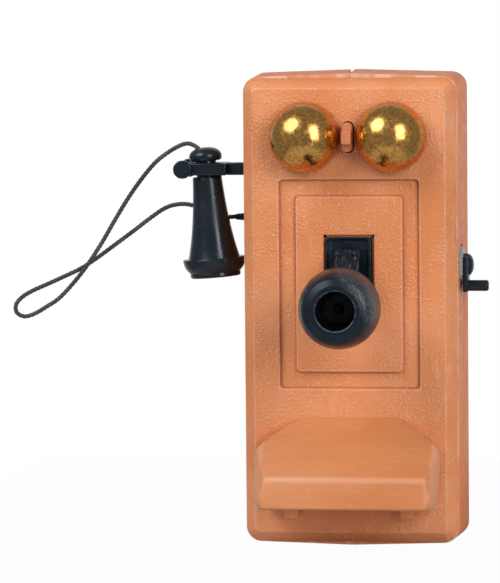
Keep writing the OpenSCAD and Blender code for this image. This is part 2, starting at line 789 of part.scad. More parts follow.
function unit(v) = v / norm(v);
function along(points, i) =
    unit(points[min(i + 1, len(points) - 1)] - points[max(i - 1, 0)]);
function side_of(t) = unit(cross(t, [0, 1, 0]));
function ring_at(points, i, r, n) =
    let (t = along(points, i), u = side_of(t), v = cross(u, t))
    [for (k = [0:n - 1]) points[i] + r * (cos(360 * k / n) * u + sin(360 * k / n) * v)];

// Tube through the given points with n flat sides
module tube(points, r, n) {
    rings = len(points);
    polyhedron(
        points = [for (i = [0:rings - 1]) each ring_at(points, i, r, n)],
        faces = [
            [for (k = [0:n - 1]) k],
            for (i = [0:rings - 2], k = [0:n - 1])
                let (a = i * n + k, b = i * n + (k + 1) % n) each
                [[a, a + n, b], [b, a + n, b + n]],
            [for (k = [0:n - 1]) rings * n - 1 - k]]);
}

module cord() { color("#26272b") at_case() tube(CORD, cord_d / 2, cord_sides); }

// ---------- crank ----------

module at_crank() { at_case() translate([0, -crank_y, crank_z]) children(); }

// Bearing that stands on the back plate
module crank_bearing() {
    color("#b9764e") at_crank() difference() {
        union() {
            rod_x(shaft_r + bearing_wall, bearing_in, bearing_out);
            block([bearing_in, bearing_out], [0, crank_y - back_t],
                  [-shaft_r - bearing_wall, shaft_r + bearing_wall]);
        }
        rod_x(shaft_r + run_gap, bearing_in - past, bearing_out + past);
    }
}

module crank_shaft() { color("silver") at_crank() rod_x(shaft_r, bearing_in - shaft_over, crank_face); }

module shaft_clip() {
    color("silver") at_crank() difference() {
        rod_x(shaft_r + clip_wall, bearing_in - 0.2 - clip_t, bearing_in - 0.2);
        rod_x(shaft_r + 0.01, bearing_in - 2 * past, bearing_in);
    }
}

module tooth_ring(x0, x1) {
    step = 360 / teeth;
    translate([x0, 0, 0]) rotate([90, 0, 90]) linear_extrude(x1 - x0)
        polygon([for (i = [0:teeth - 1]) each [
            for (p = [[-0.3, 0], [-0.12, 1], [0.12, 1], [0.3, 0]])
                (wheel_r - tooth_d * (1 - p[1])) * [cos((i + p[0]) * step), sin((i + p[0]) * step)]]]);
}

module toothed_wheel() {
    color("#b9bcbf") at_crank() difference() {
        union() {
            tooth_ring(wheel_in, wheel_in + ring_t);
            rod_x(wheel_r - tooth_d, wheel_in + ring_t - thin, wheel_out - rim_t + thin);
            tooth_ring(wheel_out - rim_t, wheel_out);
        }
        rod_x(shaft_r + 0.01, wheel_in - past, wheel_out + past);
    }
}

module crank_arm() {
    color("#2a2f36") at_crank() difference() {
        union() {
            rod_x(crank_hub_r, crank_face, crank_face + crank_hub_t);
            translate([0, 0, -throw]) rod_x(handle_r + arm_edge, crank_face, crank_face + crank_arm_t);
            block([crank_face, crank_face + crank_arm_t],
                  [-handle_r - arm_edge, handle_r + arm_edge], [-throw, 0]);
        }
        translate([0, 0, -throw])
            rod_x(handle_r * 0.6 + 0.01, crank_face - past, crank_face + crank_arm_t + past);
    }
}

module crank_handle() {
    x0 = crank_face + crank_arm_t;
    round_r = 0.5;
    color("#2a2f36") at_crank() translate([0, 0, -throw]) rotate([0, 90, 0]) rotate_extrude()
        polygon([[0, crank_face], [handle_r * 0.6, crank_face], [handle_r * 0.6, x0], [handle_r, x0],
            for (a = [0:30:90])
                [handle_r - round_r + round_r * cos(a), handle_end - round_r + round_r * sin(a)],
            [0, handle_end]]);
}

// ---------- writing shelf ----------

module edge_ball(x, y, z) {
    for (s = [-1, 1]) translate([s * (x - edge_r), y, z]) sphere(edge_r, $fn = 16);
}

module writing_shelf() {
    slope_y = front_y - slope_out;
    slope_z = -shelf_top - slope_drop;
    wall_y = front_y - edge_r;
    color("#dc956d") at_case() {
        difference() {
            hull() {
                edge_ball(shelf_back_w / 2, wall_y, -shelf_top - edge_r);
                edge_ball(shelf_w / 2, front_y - shoulder * slope_out,
                          -shelf_top - edge_r - shoulder * slope_drop);
                edge_ball(shelf_w / 2 - 0.6, slope_y, slope_z - edge_r);
                edge_ball(shelf_w / 2 - 1.6, slope_y - front_out + edge_r, -shelf_low + edge_r);
                edge_ball(shelf_w / 2 - 1.2, wall_y, -shelf_low + edge_r);
            }
            block([-case_w, case_w], [front_y, 0], [-case_h, case_h]);
        }
        foot_spots() block([-foot_w / 2, foot_w / 2], [front_y - tab_in, front_y + tab_l], [0, tab_h]);
    }
}

module shelf_feet() {
    color("#c8855a") at_case() foot_spots()
        block([-foot_w / 2, foot_w / 2], [front_y - foot_deep, front_y], [-foot_h, 0]);
}

back_plate();
left_shell();
right_shell();
front_cover();
case_screws();
left_bell();
right_bell();
bell_posts();
striker_pin();
striker_head();
striker_wire();
transmitter_bracket();
bracket_screws();
hinge_pin();
transmitter_arm();
transmitter_cup();
mouthpiece();
diaphragm();
receiver_body();
receiver_cap();
ear_cap();
ear_disc();
hook_arm();
hook_pin();
cord_sleeve();
cord();
crank_bearing();
crank_shaft();
toothed_wheel();
crank_arm();
crank_handle();
shaft_clip();
writing_shelf();
shelf_feet();
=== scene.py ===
# %% [markdown]
# # A wall crank telephone, moulded in plastic
#
# This lesson dresses a small wall telephone: an orange-tan moulded case with two
# brass bells, a black mouthpiece on a hinged arm, a receiver on a hook, a crank
# and a sloping desk. The mechanical model already exists and is loaded as a fixed
# frame. Each visible shell is then remade with softer edges and a real finish, in
# exactly the place that the frame gives it.

# %% Load the frame
import bpy
import bmesh
import math
from mathutils import Matrix, Vector


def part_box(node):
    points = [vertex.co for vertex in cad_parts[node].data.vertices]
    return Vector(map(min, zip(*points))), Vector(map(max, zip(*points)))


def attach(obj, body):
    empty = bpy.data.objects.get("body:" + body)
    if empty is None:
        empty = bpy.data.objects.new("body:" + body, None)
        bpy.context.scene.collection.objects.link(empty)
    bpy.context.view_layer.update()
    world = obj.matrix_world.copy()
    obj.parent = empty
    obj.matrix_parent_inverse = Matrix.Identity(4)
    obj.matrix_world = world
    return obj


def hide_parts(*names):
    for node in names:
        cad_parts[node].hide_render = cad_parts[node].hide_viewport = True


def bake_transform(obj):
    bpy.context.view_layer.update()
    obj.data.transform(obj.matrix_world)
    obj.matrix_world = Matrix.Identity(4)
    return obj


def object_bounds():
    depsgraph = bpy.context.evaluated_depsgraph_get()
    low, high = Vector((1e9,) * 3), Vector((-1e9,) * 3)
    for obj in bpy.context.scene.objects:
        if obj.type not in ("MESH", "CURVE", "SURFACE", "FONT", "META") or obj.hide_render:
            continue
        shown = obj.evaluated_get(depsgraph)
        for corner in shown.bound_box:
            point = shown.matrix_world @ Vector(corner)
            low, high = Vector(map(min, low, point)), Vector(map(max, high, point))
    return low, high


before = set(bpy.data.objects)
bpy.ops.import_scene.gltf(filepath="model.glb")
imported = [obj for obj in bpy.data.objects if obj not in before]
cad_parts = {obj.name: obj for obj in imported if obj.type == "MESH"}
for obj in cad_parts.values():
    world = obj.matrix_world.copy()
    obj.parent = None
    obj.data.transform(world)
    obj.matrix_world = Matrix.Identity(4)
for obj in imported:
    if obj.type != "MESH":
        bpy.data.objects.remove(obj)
cad_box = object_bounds()
print("CAD nodes:", len(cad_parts))

# %% [markdown]
# ## Millimetres from the middle of the case
#
# A telephone maker would give every size from the middle of the case: so much to
# the side, so much in front of the wall, so much up. The frame is in metres and
# hangs from its mounting hole, so one helper turns the maker's millimetres into
# the frame's metres. The middle is measured on the front cover, never typed.

# %% A helper for places
MM = 0.001
cover_low, cover_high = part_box("front_cover")
MIDDLE = Vector(((cover_low.x + cover_high.x) / 2, 0.0, (cover_low.z + cover_high.z) / 2))


def at(x, y, z):
    """A point in millimetres from the case's middle, with y = 0 at the wall."""
    return MIDDLE + Vector((x, y, z)) * MM


def size_of(node):
    """The middle and the size of a CAD node, in the maker's millimetres."""
    low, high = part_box(node)
    return ((low + high) / 2 - MIDDLE) / MM, (high - low) / MM


CASE_W = (cover_high.x - cover_low.x) / MM
CASE_H = (cover_high.z - cover_low.z) / MM
FACE_Y = cover_low.y / MM
print("case %.1f wide, %.1f high, face at %.1f mm" % (CASE_W, CASE_H, FACE_Y))

# %% [markdown]
# ## The camera
#
# A long lens from a little to the right and a little above keeps the case almost
# square-on, yet shows a strip of its right side and the tops of the crank and the
# desk. A long lens also keeps the near mouthpiece from swelling in size.

# %% Place the camera
YAW, PITCH, ROLL = math.radians(8.15), math.radians(4.27), math.radians(-0.52)
CAMERA_FAR = 0.863
aim = at(-21.507, FACE_Y, 4.228)
to_camera = Vector((math.sin(YAW) * math.cos(PITCH), -math.cos(YAW) * math.cos(PITCH),
                    math.sin(PITCH)))
level = Vector((math.cos(YAW), math.sin(YAW), 0.0))
upward = to_camera.cross(level)
across = level * math.cos(ROLL) + upward * math.sin(ROLL)
rising = upward * math.cos(ROLL) - level * math.sin(ROLL)

lens = bpy.data.cameras.new("camera")
lens.lens = 247.4
lens.sensor_width = 36.0
lens.clip_start = 0.01
camera = bpy.data.objects.new("camera", lens)
camera.matrix_world = Matrix((across, rising, to_camera)).transposed().to_4x4()
camera.location = aim + to_camera * CAMERA_FAR
bpy.context.collection.objects.link(camera)
bpy.context.scene.camera = camera
print("camera at", [round(v, 3) for v in camera.location])

# %% [markdown]
# ## From a bmesh to a finished piece
#
# All new pieces are modelled in a bmesh, in millimetres from the case's middle,
# and leave it by one door. That door moves the mesh to its place in metres, makes
# all faces point outwards, smooths the shading except at sharp corners, hangs the
# piece on the body that it rides on and hides the CAD node that it stands for.

# %% Turn a bmesh into a piece
SHARP = 32.0         # degrees from which an edge is shaded as a corner
SAME_POINT = 0.0005  # millimetres within which two points are one


def smooth(piece, sharp_from=SHARP):
    """Round shading over gentle bends, crisp shading over sharp ones."""
    mesh = piece.data
    mesh.polygons.foreach_set("use_smooth", [True] * len(mesh.polygons))
    mesh.set_sharp_from_angle(angle=math.radians(sharp_from))
    mesh.update()


def to_piece(bm, name, body, node=None, sharp_from=SHARP):
    """A finished object, in metres, riding on its body and standing for its CAD node."""
    bmesh.ops.remove_doubles(bm, verts=bm.verts, dist=SAME_POINT)
    bmesh.ops.recalc_face_normals(bm, faces=bm.faces)
    bmesh.ops.transform(bm, matrix=Matrix.Translation(MIDDLE) @ Matrix.Scale(MM, 4),
                        verts=bm.verts)
    mesh = bpy.data.meshes.new(name)
    bm.to_mesh(mesh)
    bm.free()
    piece = bpy.data.objects.new(name, mesh)
    bpy.context.collection.objects.link(piece)
    smooth(piece, sharp_from)
    if body:
        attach(piece, body)
    if node:
        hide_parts(node)
    return piece


def settle(piece, sharp_from=SHARP):
    """Apply the piece's modifiers, so that its mesh is its final shape."""
    bpy.context.view_layer.update()
    seen = piece.evaluated_get(bpy.context.evaluated_depsgraph_get())
    mesh = bpy.data.meshes.new_from_object(seen)
    piece.modifiers.clear()
    old, piece.data = piece.data, mesh
    mesh.name = old.name
    bpy.data.meshes.remove(old)
    smooth(piece, sharp_from)
    return piece


def soften(piece, width, segments=3, angle=30.0, sharp_from=SHARP):
    """Round every sharp edge of a piece by a width in millimetres."""
    bevel = piece.modifiers.new("soft_edges", "BEVEL")
    bevel.width = width * MM
    bevel.segments = segments
    bevel.limit_method = "ANGLE"
    bevel.angle_limit = math.radians(angle)
    bevel.use_clamp_overlap = True
    bevel.miter_outer = "MITER_ARC"
    return settle(piece, sharp_from)


def cutter(bm):
    """A shape that only cuts: it rides on nothing and is thrown away afterwards."""
    return to_piece(bm, "tool", None)


def carve(piece, *cutters):
    """Cut other shapes out of a piece, then throw the cutters away."""
    for tool in cutters:
        cut = piece.modifiers.new("cut", "BOOLEAN")
        cut.operation = "DIFFERENCE"
        cut.solver = "EXACT"
        cut.object = tool
    settle(piece)
    for tool in cutters:
        bpy.data.objects.remove(tool, do_unlink=True)
    return piece


# %% [markdown]
# ## Two shapes that most pieces start from
#
# Nearly everything on the telephone is either turned or moulded as a block. A
# turned piece is half an outline spun round an axis. Its corners are rounded in
# the outline first, because that gives an even roundness for very few faces. A
# block is a cube whose upright edges are bevelled.

# %% Spin an outline, or round off a block
def eased(outline, radius, steps=4):
    """Round the inner corners of an outline of (radius, height) points."""
    points = [Vector(p) for p in outline]
    soft = [points[0]]
    for before, corner, after in zip(points, points[1:], points[2:]):
        back, ahead = before - corner, after - corner
        reach = min(radius, back.length * 0.45, ahead.length * 0.45)
        start, end = corner + back.normalized() * reach, corner + ahead.normalized() * reach
        for step in range(steps + 1):
            t = step / steps
            soft.append(start * (1 - t) ** 2 + corner * 2 * t * (1 - t) + end * t ** 2)
    return soft + [points[-1]]


def turned(outline, steps=96):
    """A closed outline of (radius, height) spun round Z."""
    bm = bmesh.new()
    verts = [bm.verts.new((p[0], 0.0, p[1])) for p in outline]
    edges = [bm.edges.new(pair) for pair in zip(verts, verts[1:])]
    bmesh.ops.spin(bm, geom=verts + edges, axis=(0, 0, 1), cent=(0, 0, 0),
                   angle=math.tau, steps=steps, use_merge=True)
    bmesh.ops.remove_doubles(bm, verts=bm.verts, dist=SAME_POINT)
    return bm


def place(bm, matrix):
    """Move or turn a bmesh, and hand it on."""
    bmesh.ops.transform(bm, matrix=matrix, verts=bm.verts)
    return bm


def facing_out(x, y, z):
    """Turns a shape's Z axis to point out of the wall, and moves it to a place."""
    return Matrix.Translation((x, y, z)) @ Matrix.Rotation(math.pi / 2, 4, "X")


def pointing_right(x, y, z):
    """Turns a shape's Z axis to point to the right, and moves it to a place."""
    return Matrix.Translation((x, y, z)) @ Matrix.Rotation(math.pi / 2, 4, "Y")


def block(low, high, radius=0.0, along="y", segments=6):
    """A box between two corners, its four edges along one axis rounded."""
    bm = bmesh.new()
    bmesh.ops.create_cube(bm, size=1.0)
    low, high = Vector(low), Vector(high)
    size, middle = high - low, (high + low) / 2
    place(bm, Matrix.Translation(middle) @ Matrix.Diagonal((*size, 1.0)))
    if radius:
        axis = "xyz".index(along)
        edges = [e for e in bm.edges
                 if abs((e.verts[0].co - e.verts[1].co)[axis]) > size[axis] * 0.9]
        bmesh.ops.bevel(bm, geom=edges, offset=radius, segments=segments, profile=0.5,
                        affect="EDGES", material=-1)
    return bm


def plate(width, height, radius, y0, y1, z=0.0, x=0.0, segments=6):
    """An upright plate with rounded corners between two depths."""
    return block((x - width / 2, y0, z - height / 2), (x + width / 2, y1, z + height / 2),
                 radius, "y", segments)


def merged(*parts):
    """Several bmeshes as one."""
    whole = bmesh.new()
    for part in parts:
        mesh = bpy.data.meshes.new("part")
        part.to_mesh(mesh)
        part.free()
        whole.from_mesh(mesh)
        bpy.data.meshes.remove(mesh)
    return whole


# %% [markdown]
# ## The cord
#
# The cord is about 0.95 mm thick and 120 mm long: three dark threads twisted
# together, which keep the long open loop that they were laid in. A tube with a
# plain round section would look like wire. So the section here is a ring with
# three soft lobes. It is pulled along the route ring by ring and turned a little
# each time, which lays the threads round each other as a rope walk does.

# %% The route and the section of the cord
CORD_D = 0.95
RING_STEP = 0.34
CORD_ROUTE = [
    (-27.0, -3.2, 19.4), (-30.0, -3.2, 19.4), (-33.5, -3.1, 20.7), (-37.0, -2.9, 22.0),
    (-40.0, -2.5, 22.1), (-43.0, -1.9, 21.2), (-46.5, -1.2, 18.9), (-50.0, -0.7, 16.3),
    (-54.0, -0.5, 13.4), (-58.0, -0.5, 10.5), (-62.0, -0.5, 7.9), (-66.0, -0.5, 6.0),
    (-69.8, -0.5, 4.3), (-73.0, -0.5, 2.9), (-75.4, -0.5, 1.5), (-76.9, -0.5, -0.2),
    (-76.8, -0.5, -2.0), (-75.1, -0.5, -2.9), (-72.8, -0.5, -2.3), (-70.0, -0.6, -0.7),
    (-67.0, -0.9, 1.3), (-63.5, -1.5, 4.9), (-60.3, -1.8, 8.9), (-57.0, -2.1, 13.8),
    (-54.0, -2.7, 18.7), (-51.0, -3.6, 23.3), (-47.8, -4.6, 27.6), (-44.4, -5.7, 31.4),
    (-41.2, -6.7, 33.8), (-38.6, -7.5, 35.2), (-36.9, -8.1, 35.7), (-35.5, -8.45, 35.4),
    (-34.43, -8.5, 34.7), (-33.53, -8.5, 33.8),
]


def smooth_route(points, step):
    """Even steps along a curve that passes through all the points."""
    points = [Vector(p) for p in points]
    ends = [points[0] * 2 - points[1]] + points + [points[-1] * 2 - points[-2]]
    dense = []
    for a, b, c, d in zip(ends, ends[1:], ends[2:], ends[3:]):
        for k in range(24):
            t = k / 24
            dense.append(((b * 2) + (c - a) * t + (a * 2 - b * 5 + c * 4 - d) * t * t
                          + (b * 3 - a - c * 3 + d) * t ** 3) * 0.5)
    dense.append(points[-1])
    even, left = [dense[0]], step
    for a, b in zip(dense, dense[1:]):
        run = (b - a).length
        while run >= left:
            a = a + (b - a) * (left / run)
            run = (b - a).length
            even.append(a)
            left = step
        left -= run
    return even + [dense[-1]]


route = smooth_route(CORD_ROUTE, RING_STEP)

# %% Pull the section along the route
TWIST_PITCH = 2.9


def frames_along(points):
    """A steady frame at each point, with Z along the route."""
    frames, side = [], Vector((0.0, 1.0, 0.0))
    for i, point in enumerate(points):
        ahead = (points[min(i + 1, len(points) - 1)] - points[max(i - 1, 0)]).normalized()
        side = (side - ahead * side.dot(ahead)).normalized()
        other = ahead.cross(side)
        turn = Matrix((side, other, ahead)).transposed().to_4x4()
        frames.append(Matrix.Translation(point) @ turn)
    return frames


bm = bmesh.new()
bmesh.ops.create_circle(bm, segments=15, radius=CORD_D / 2)
for v in bm.verts:
    lobe = math.cos(3 * math.atan2(v.co.y, v.co.x))
    v.co *= 1.04 + 0.07 * lobe
ring_verts, ring_edges = list(bm.verts), list(bm.edges)
cord_frames = frames_along(route)
twist = math.tau * RING_STEP / TWIST_PITCH
place(bm, cord_frames[0])
bmesh.ops.contextual_create(bm, geom=ring_edges)
for i in range(1, len(cord_frames)):
    made = bmesh.ops.extrude_edge_only(bm, edges=ring_edges)["geom"]
    ring_verts = [g for g in made if isinstance(g, bmesh.types.BMVert)]
    ring_edges = [g for g in made if isinstance(g, bmesh.types.BMEdge)
                  and all(v in ring_verts for v in g.verts)]
    step = (cord_frames[i] @ Matrix.Rotation(twist * i, 4, "Z")
            @ (cord_frames[i - 1] @ Matrix.Rotation(twist * (i - 1), 4, "Z")).inverted())
    bmesh.ops.transform(bm, matrix=step, verts=ring_verts)
bmesh.ops.contextual_create(bm, geom=ring_edges)
cord = to_piece(bm, "cord_thread", None, "cord", sharp_from=60)
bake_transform(cord)
print("cord made with", len(cord.data.polygons), "faces")

# %% [markdown]
# ## The strain relief
#
# Where the cord leaves the case it is thicker: a short tapering sleeve of soft
# black rubber spreads the bend. It is turned, and a few shallow grooves let it
# flex. The frame's own sleeve gives the wall end and the thin end.

# %% Turn the sleeve
sleeve_mid, sleeve_size = size_of("cord_sleeve")
sleeve_x0, sleeve_x1 = sleeve_mid.x - sleeve_size.x / 2, sleeve_mid.x + sleeve_size.x / 2
wall_x = sleeve_x0 + 3.2
outline = [(0.0, sleeve_x0), (0.5, sleeve_x0), (0.62, sleeve_x0 + 0.15)]
for k in range(3):
    x = sleeve_x0 + 0.55 + k * 0.62
    r = 0.6 + 0.3 * (k + 1) / 4
    outline += [(r, x), (r + 0.06, x + 0.3), (r - 0.03, x + 0.42)]
outline += [(0.93, wall_x - 0.5), (0.95, wall_x + 1.2), (1.25, wall_x + 1.25),
            (1.25, sleeve_x1), (0.0, sleeve_x1)]
bm = turned(eased(outline, 0.12, 3), 40)
place(bm, pointing_right(0, sleeve_mid.y, sleeve_mid.z))
cord_collar = to_piece(bm, "cord_collar", "case", "cord_sleeve")
print("sleeve from x = %.1f to %.1f mm" % (sleeve_x0, sleeve_x1))

# %% [markdown]
# ## The front cover
#
# The cover is one moulding: a flat face with a wide sloping edge, a sunk border
# round a raised panel, a window for the mouthpiece's bracket, and a slot for the
# striker. It starts as a block. The edges that run front to back are rounded and
# the front edge is bevelled once, flat, as the mould maker cut it. The hollow and
# the border are carved out and a fine bevel softens every edge, since plastic
# never fills a corner. The window and the slot are cut last, so they stay crisp.

# %% Block out the cover
PART_Y = FACE_Y + 3.2       # where the cover meets the side shells
BEVEL, CORNER_R = 2.2, 3.2

bm = plate(CASE_W, CASE_H, CORNER_R, FACE_Y, PART_Y, segments=10)
front = [e for e in bm.edges if all(v.co.y < FACE_Y + 0.01 for v in e.verts)]
bmesh.ops.bevel(bm, geom=front, offset=BEVEL, segments=1, profile=0.5, affect="EDGES",
                material=-1)
cover = to_piece(bm, "case_front", "case", "front_cover")

# %% Carve the hollow, the border, the window and the striker's slot
INNER_Y = FACE_Y + 1.8      # the back of the cover's face
BORDER_W, BORDER_H, BORDER_DEEP = 30.3, 45.1, 0.9
PANEL_W, PANEL_H, PANEL_Z, PANEL_R = 23.0, 37.7, 5.8, 0.9
WINDOW_W, WINDOW_H, WINDOW_Z = 11.0, 14.0, 9.5
SLOT_W, SLOT_H, SLOT_R = 2.75, 6.9, 1.37
CAVITY_R = 1.6
BELL_Z = size_of("left_bell")[0].z

hollow = cutter(plate(CASE_W - 7.6, CASE_H - 7.6, CAVITY_R, INNER_Y, PART_Y + 1))
border = cutter(plate(BORDER_W, BORDER_H, PANEL_R, FACE_Y - 1, FACE_Y + BORDER_DEEP, PANEL_Z))
panel = cutter(plate(PANEL_W, PANEL_H, PANEL_R, FACE_Y - 2, FACE_Y + 2, PANEL_Z))
carve(border, panel)
window = cutter(plate(WINDOW_W, WINDOW_H, 0.0, FACE_Y - 1, INNER_Y + 1, WINDOW_Z))
slot = cutter(plate(SLOT_W, SLOT_H, SLOT_R, FACE_Y - 1, INNER_Y + 1, BELL_Z, segments=10))
carve(cover, hollow, border)
soften(cover, 0.22, 3)
carve(cover, window, slot)
print("cover:", len(cover.data.polygons), "faces")

# %% [markdown]
# ## What sits behind the cover
#
# Inside the cover are the posts that take the case's four screws, two small lugs
# that hold the striker's pin, a ledge round the window and walls beside the slot.
# They are plain turned and blocked shapes, but they show when the model is
# opened, so they are made as well.

# %% Posts and lugs inside the cover
SHELL_WALL, BACK_T = 1.55, 1.8
CAVITY_W, CAVITY_H = CASE_W - 2 * SHELL_WALL, CASE_H - 2 * SHELL_WALL
POST_R, POST_BORE, POST_IN = 2.1, 0.83, 5.2
post_l = -BACK_T - INNER_Y
inside = []
for sx in (-1, 1):
    for sz in (-1, 1):
        tube = turned([(POST_BORE, 0.0), (POST_R, 0.0), (POST_R, post_l), (POST_BORE, post_l),
                       (POST_BORE, 0.0)], 32)
        spot = Matrix.Translation((sx * (CAVITY_W / 2 - POST_IN), INNER_Y,
                                   sz * (CAVITY_H / 2 - POST_IN)))
        inside.append(place(tube, spot @ Matrix.Rotation(-math.pi / 2, 4, "X")))
for side in (-1, 1):
    z = BELL_Z + side * 3.9
    inside.append(block((-1.1, INNER_Y - 0.1, z - 0.5), (1.1, INNER_Y + 1.05, z + 0.5)))
    inside.append(block((-1.1, INNER_Y + 2.15, z - 0.5), (1.1, INNER_Y + 2.7, z + 0.5), 0.3, "z"))
    z = WINDOW_Z + side * 6.65
    inside.append(block((-5.7, FACE_Y + 1.15, z - 0.4), (5.7, FACE_Y + 1.75, z + 0.4)))
    x = side * 5.35
    inside.append(block((x - 0.4, FACE_Y + 1.15, WINDOW_Z - WINDOW_H / 2 - 0.2),
                        (x + 0.4, FACE_Y + 1.75, WINDOW_Z + WINDOW_H / 2 + 0.2)))
    x = side * 1.65
    inside.append(block((x - 0.27, INNER_Y - 0.1, BELL_Z - 3.4),
                        (x + 0.27, INNER_Y + 1.6, BELL_Z + 3.4)))
cover_posts = to_piece(merged(*inside), "cover_posts", "case", "front_cover")
print("posts and lugs:", len(cover_posts.data.polygons), "faces")

# %% [markdown]
# ## The two side shells
#
# Behind the cover the case is two half shells that meet at the top and the
# bottom. The mould is tapered so that they slide out of it, and the halves splay
# a little towards the wall, which opens the seam into a thin wedge. A block with
# a raised middle is drawn back and spread, cut along the slanting seam plane, and
# hollowed.

# %% Draw one tapered half
SEAM_FRONT, SEAM_BACK, SKEW = 0.03, 0.9, math.radians(4.0)
FRONT_W, FRONT_H = CASE_W + 0.5, CASE_H + 0.5
BACK_W, BACK_H, BOW = FRONT_W + 1.2, FRONT_H + 1.2, 0.7


def half_shell(name, side):
    """One half of the tapered ring; side is -1 on the left and 1 on the right."""
    bm = bmesh.new()
    w, h = FRONT_W / 2, FRONT_H / 2
    corners = [(-w, h), (0, h + BOW), (w, h), (w, -h), (0, -h - BOW), (-w, -h)]
    face = bm.faces.new([bm.verts.new((x, PART_Y + 0.01, z)) for x, z in corners])
    drawn = bmesh.ops.extrude_face_region(bm, geom=[face])["geom"]
    for v in (g for g in drawn if isinstance(g, bmesh.types.BMVert)):
        v.co.y = 0.0
        v.co.x *= BACK_W / FRONT_W
        v.co.z *= BACK_H / FRONT_H
    bmesh.ops.recalc_face_normals(bm, faces=bm.faces)
    rounds = [e for e in bm.edges if min(abs(v.co.x) for v in e.verts) > w / 2
              and abs(e.verts[0].co.y - e.verts[1].co.y) > -PART_Y / 2]
    bmesh.ops.bevel(bm, geom=rounds, offset=CORNER_R, segments=10, profile=0.5,
                    affect="EDGES", material=-1)
    splay = math.atan2((SEAM_BACK - SEAM_FRONT) / 2, -PART_Y)
    normal = Vector((-side * math.cos(splay), math.sin(splay), 0.0))
    normal.rotate(Matrix.Rotation(SKEW, 3, "Z"))
    geom = list(bm.verts) + list(bm.edges) + list(bm.faces)
    bmesh.ops.bisect_plane(bm, geom=geom, dist=0.0001, plane_no=normal, clear_outer=True,
                           plane_co=(side * SEAM_FRONT / 2, PART_Y, 0))
    bmesh.ops.holes_fill(bm, edges=[e for e in bm.edges if e.is_boundary])
    return to_piece(bm, name, "case")


left_shell = half_shell("shell_left", -1)
right_shell = half_shell("shell_right", 1)
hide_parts("left_shell")
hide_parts("right_shell")

# %% Hollow the halves and cut their openings
HOOK_Y, HOOK_Z = -8.5, 30.2
wheel_mid = size_of("toothed_wheel")[0]


def cavity():
    return cutter(plate(CAVITY_W, CAVITY_H, CAVITY_R, PART_Y - 1, 1))


def wall_hole(radius, x, y, z, steps):
    """A round hole through a side wall."""
    drill = turned([(0, -4), (radius, -4), (radius, 4), (0, 4)], steps)
    return cutter(place(drill, pointing_right(x, y, z)))


hook_slot = cutter(block((-26, HOOK_Y - 1.9, HOOK_Z - 2.25), (-20, HOOK_Y + 1.9, HOOK_Z + 2.25)))
carve(left_shell, cavity(), hook_slot, wall_hole(0.98, -22.5, sleeve_mid.y, sleeve_mid.z, 32))

dimple = turned(eased([(0, -0.35), (0.3, -0.3), (0.5, 0.4), (0, 0.4)], 0.15, 2), 20)
dimple = cutter(place(dimple, pointing_right(23.45, -8.8, 0.7)))
carve(right_shell, cavity(), wall_hole(4.45, 23.5, wheel_mid.y, wheel_mid.z, 64), dimple)
for shell in (left_shell, right_shell):
    soften(shell, 0.25, 3)
    print(shell.name, len(shell.data.polygons), "faces")

# %% [markdown]
# ## The bells
#
# Each bell is a spun brass dome with a short straight skirt and a rolled lip,
# hung on a hub under its crown. Brass this bright shows every facet, so the dome
# is spun in many steps from an evenly stepped arc. The frame gives the bell's
# place and the height of its rim above the cover.

# %% Spin the bells
BELL_R, BELL_T, SKIRT, HUB_R = 7.55, 0.6, 0.9, 1.5


def bell(name, node):
    middle, size = size_of(node)
    rim_y = middle.y + size.y / 2
    arc = [math.pi / 2 * k / 40 for k in range(41)]
    outer = [(BELL_R * math.sin(a), SKIRT + BELL_R * math.cos(a)) for a in arc]
    lip = [(BELL_R, 0.3), (BELL_R + 0.04, 0.14), (BELL_R - 0.03, 0.03), (BELL_R - 0.2, 0.0),
           (BELL_R - 0.42, 0.03), (BELL_R - 0.56, 0.14), (BELL_R - BELL_T, 0.35)]
    inner_r = BELL_R - BELL_T
    inner = [(inner_r * math.sin(a), SKIRT + inner_r * math.cos(a)) for a in reversed(arc[10:])]
    hub_z = SKIRT + inner_r - 3.4
    hub = [(HUB_R, SKIRT + inner_r * math.cos(math.asin(HUB_R / inner_r))), (HUB_R, hub_z),
           (0.0, hub_z)]
    bm = turned([(0.0, SKIRT + BELL_R)] + outer[1:] + lip + inner + hub, 144)
    place(bm, facing_out(middle.x, rim_y, middle.z))
    return to_piece(bm, name, "case", node)


bell_left = bell("bell_left", "left_bell")
bell_right = bell("bell_right", "right_bell")
print("bells:", len(bell_left.data.polygons), "faces each")

# %% [markdown]
# ## The striker
#
# Between the bells stands the striker's head, a thin upright fin with a raised
# nose, on a slightly wider foot that fills the slot. It is moulded in the case's
# plastic, so its edges are softly rounded.

# %% Mould the striker's fin
striker_mid, striker_size = size_of("striker_head")
tip_y, tail_y = striker_mid.y - striker_size.y / 2, striker_mid.y + striker_size.y / 2
base = plate(2.4, 6.5, 1.19, FACE_Y + 1.0, FACE_Y + 3.0, BELL_Z, segments=8)
fin = plate(2.2, 6.3, 1.09, tip_y + 1.9, FACE_Y + 3.0, BELL_Z, segments=8)
nose = plate(2.15, 2.95, 0.5, tip_y, tip_y + 2.2, BELL_Z, segments=3)
stub = plate(1.2, 2.4, 0.0, FACE_Y + 2.9, tail_y, BELL_Z)
striker = to_piece(merged(base, fin, nose, stub), "striker_fin", "striker", "striker_head")
soften(striker, 0.5, 5)
print("striker's tip at y = %.1f mm" % tip_y)

# %% [markdown]
# ## The bracket, the hinge and the arm
#
# A black plate fills the window behind the mouthpiece. It has a fine raised rim,
# a faint line down its middle where the mould met, and two ears that carry the
# hinge. The arm's knuckle turns between them and the arm runs down to the cup.

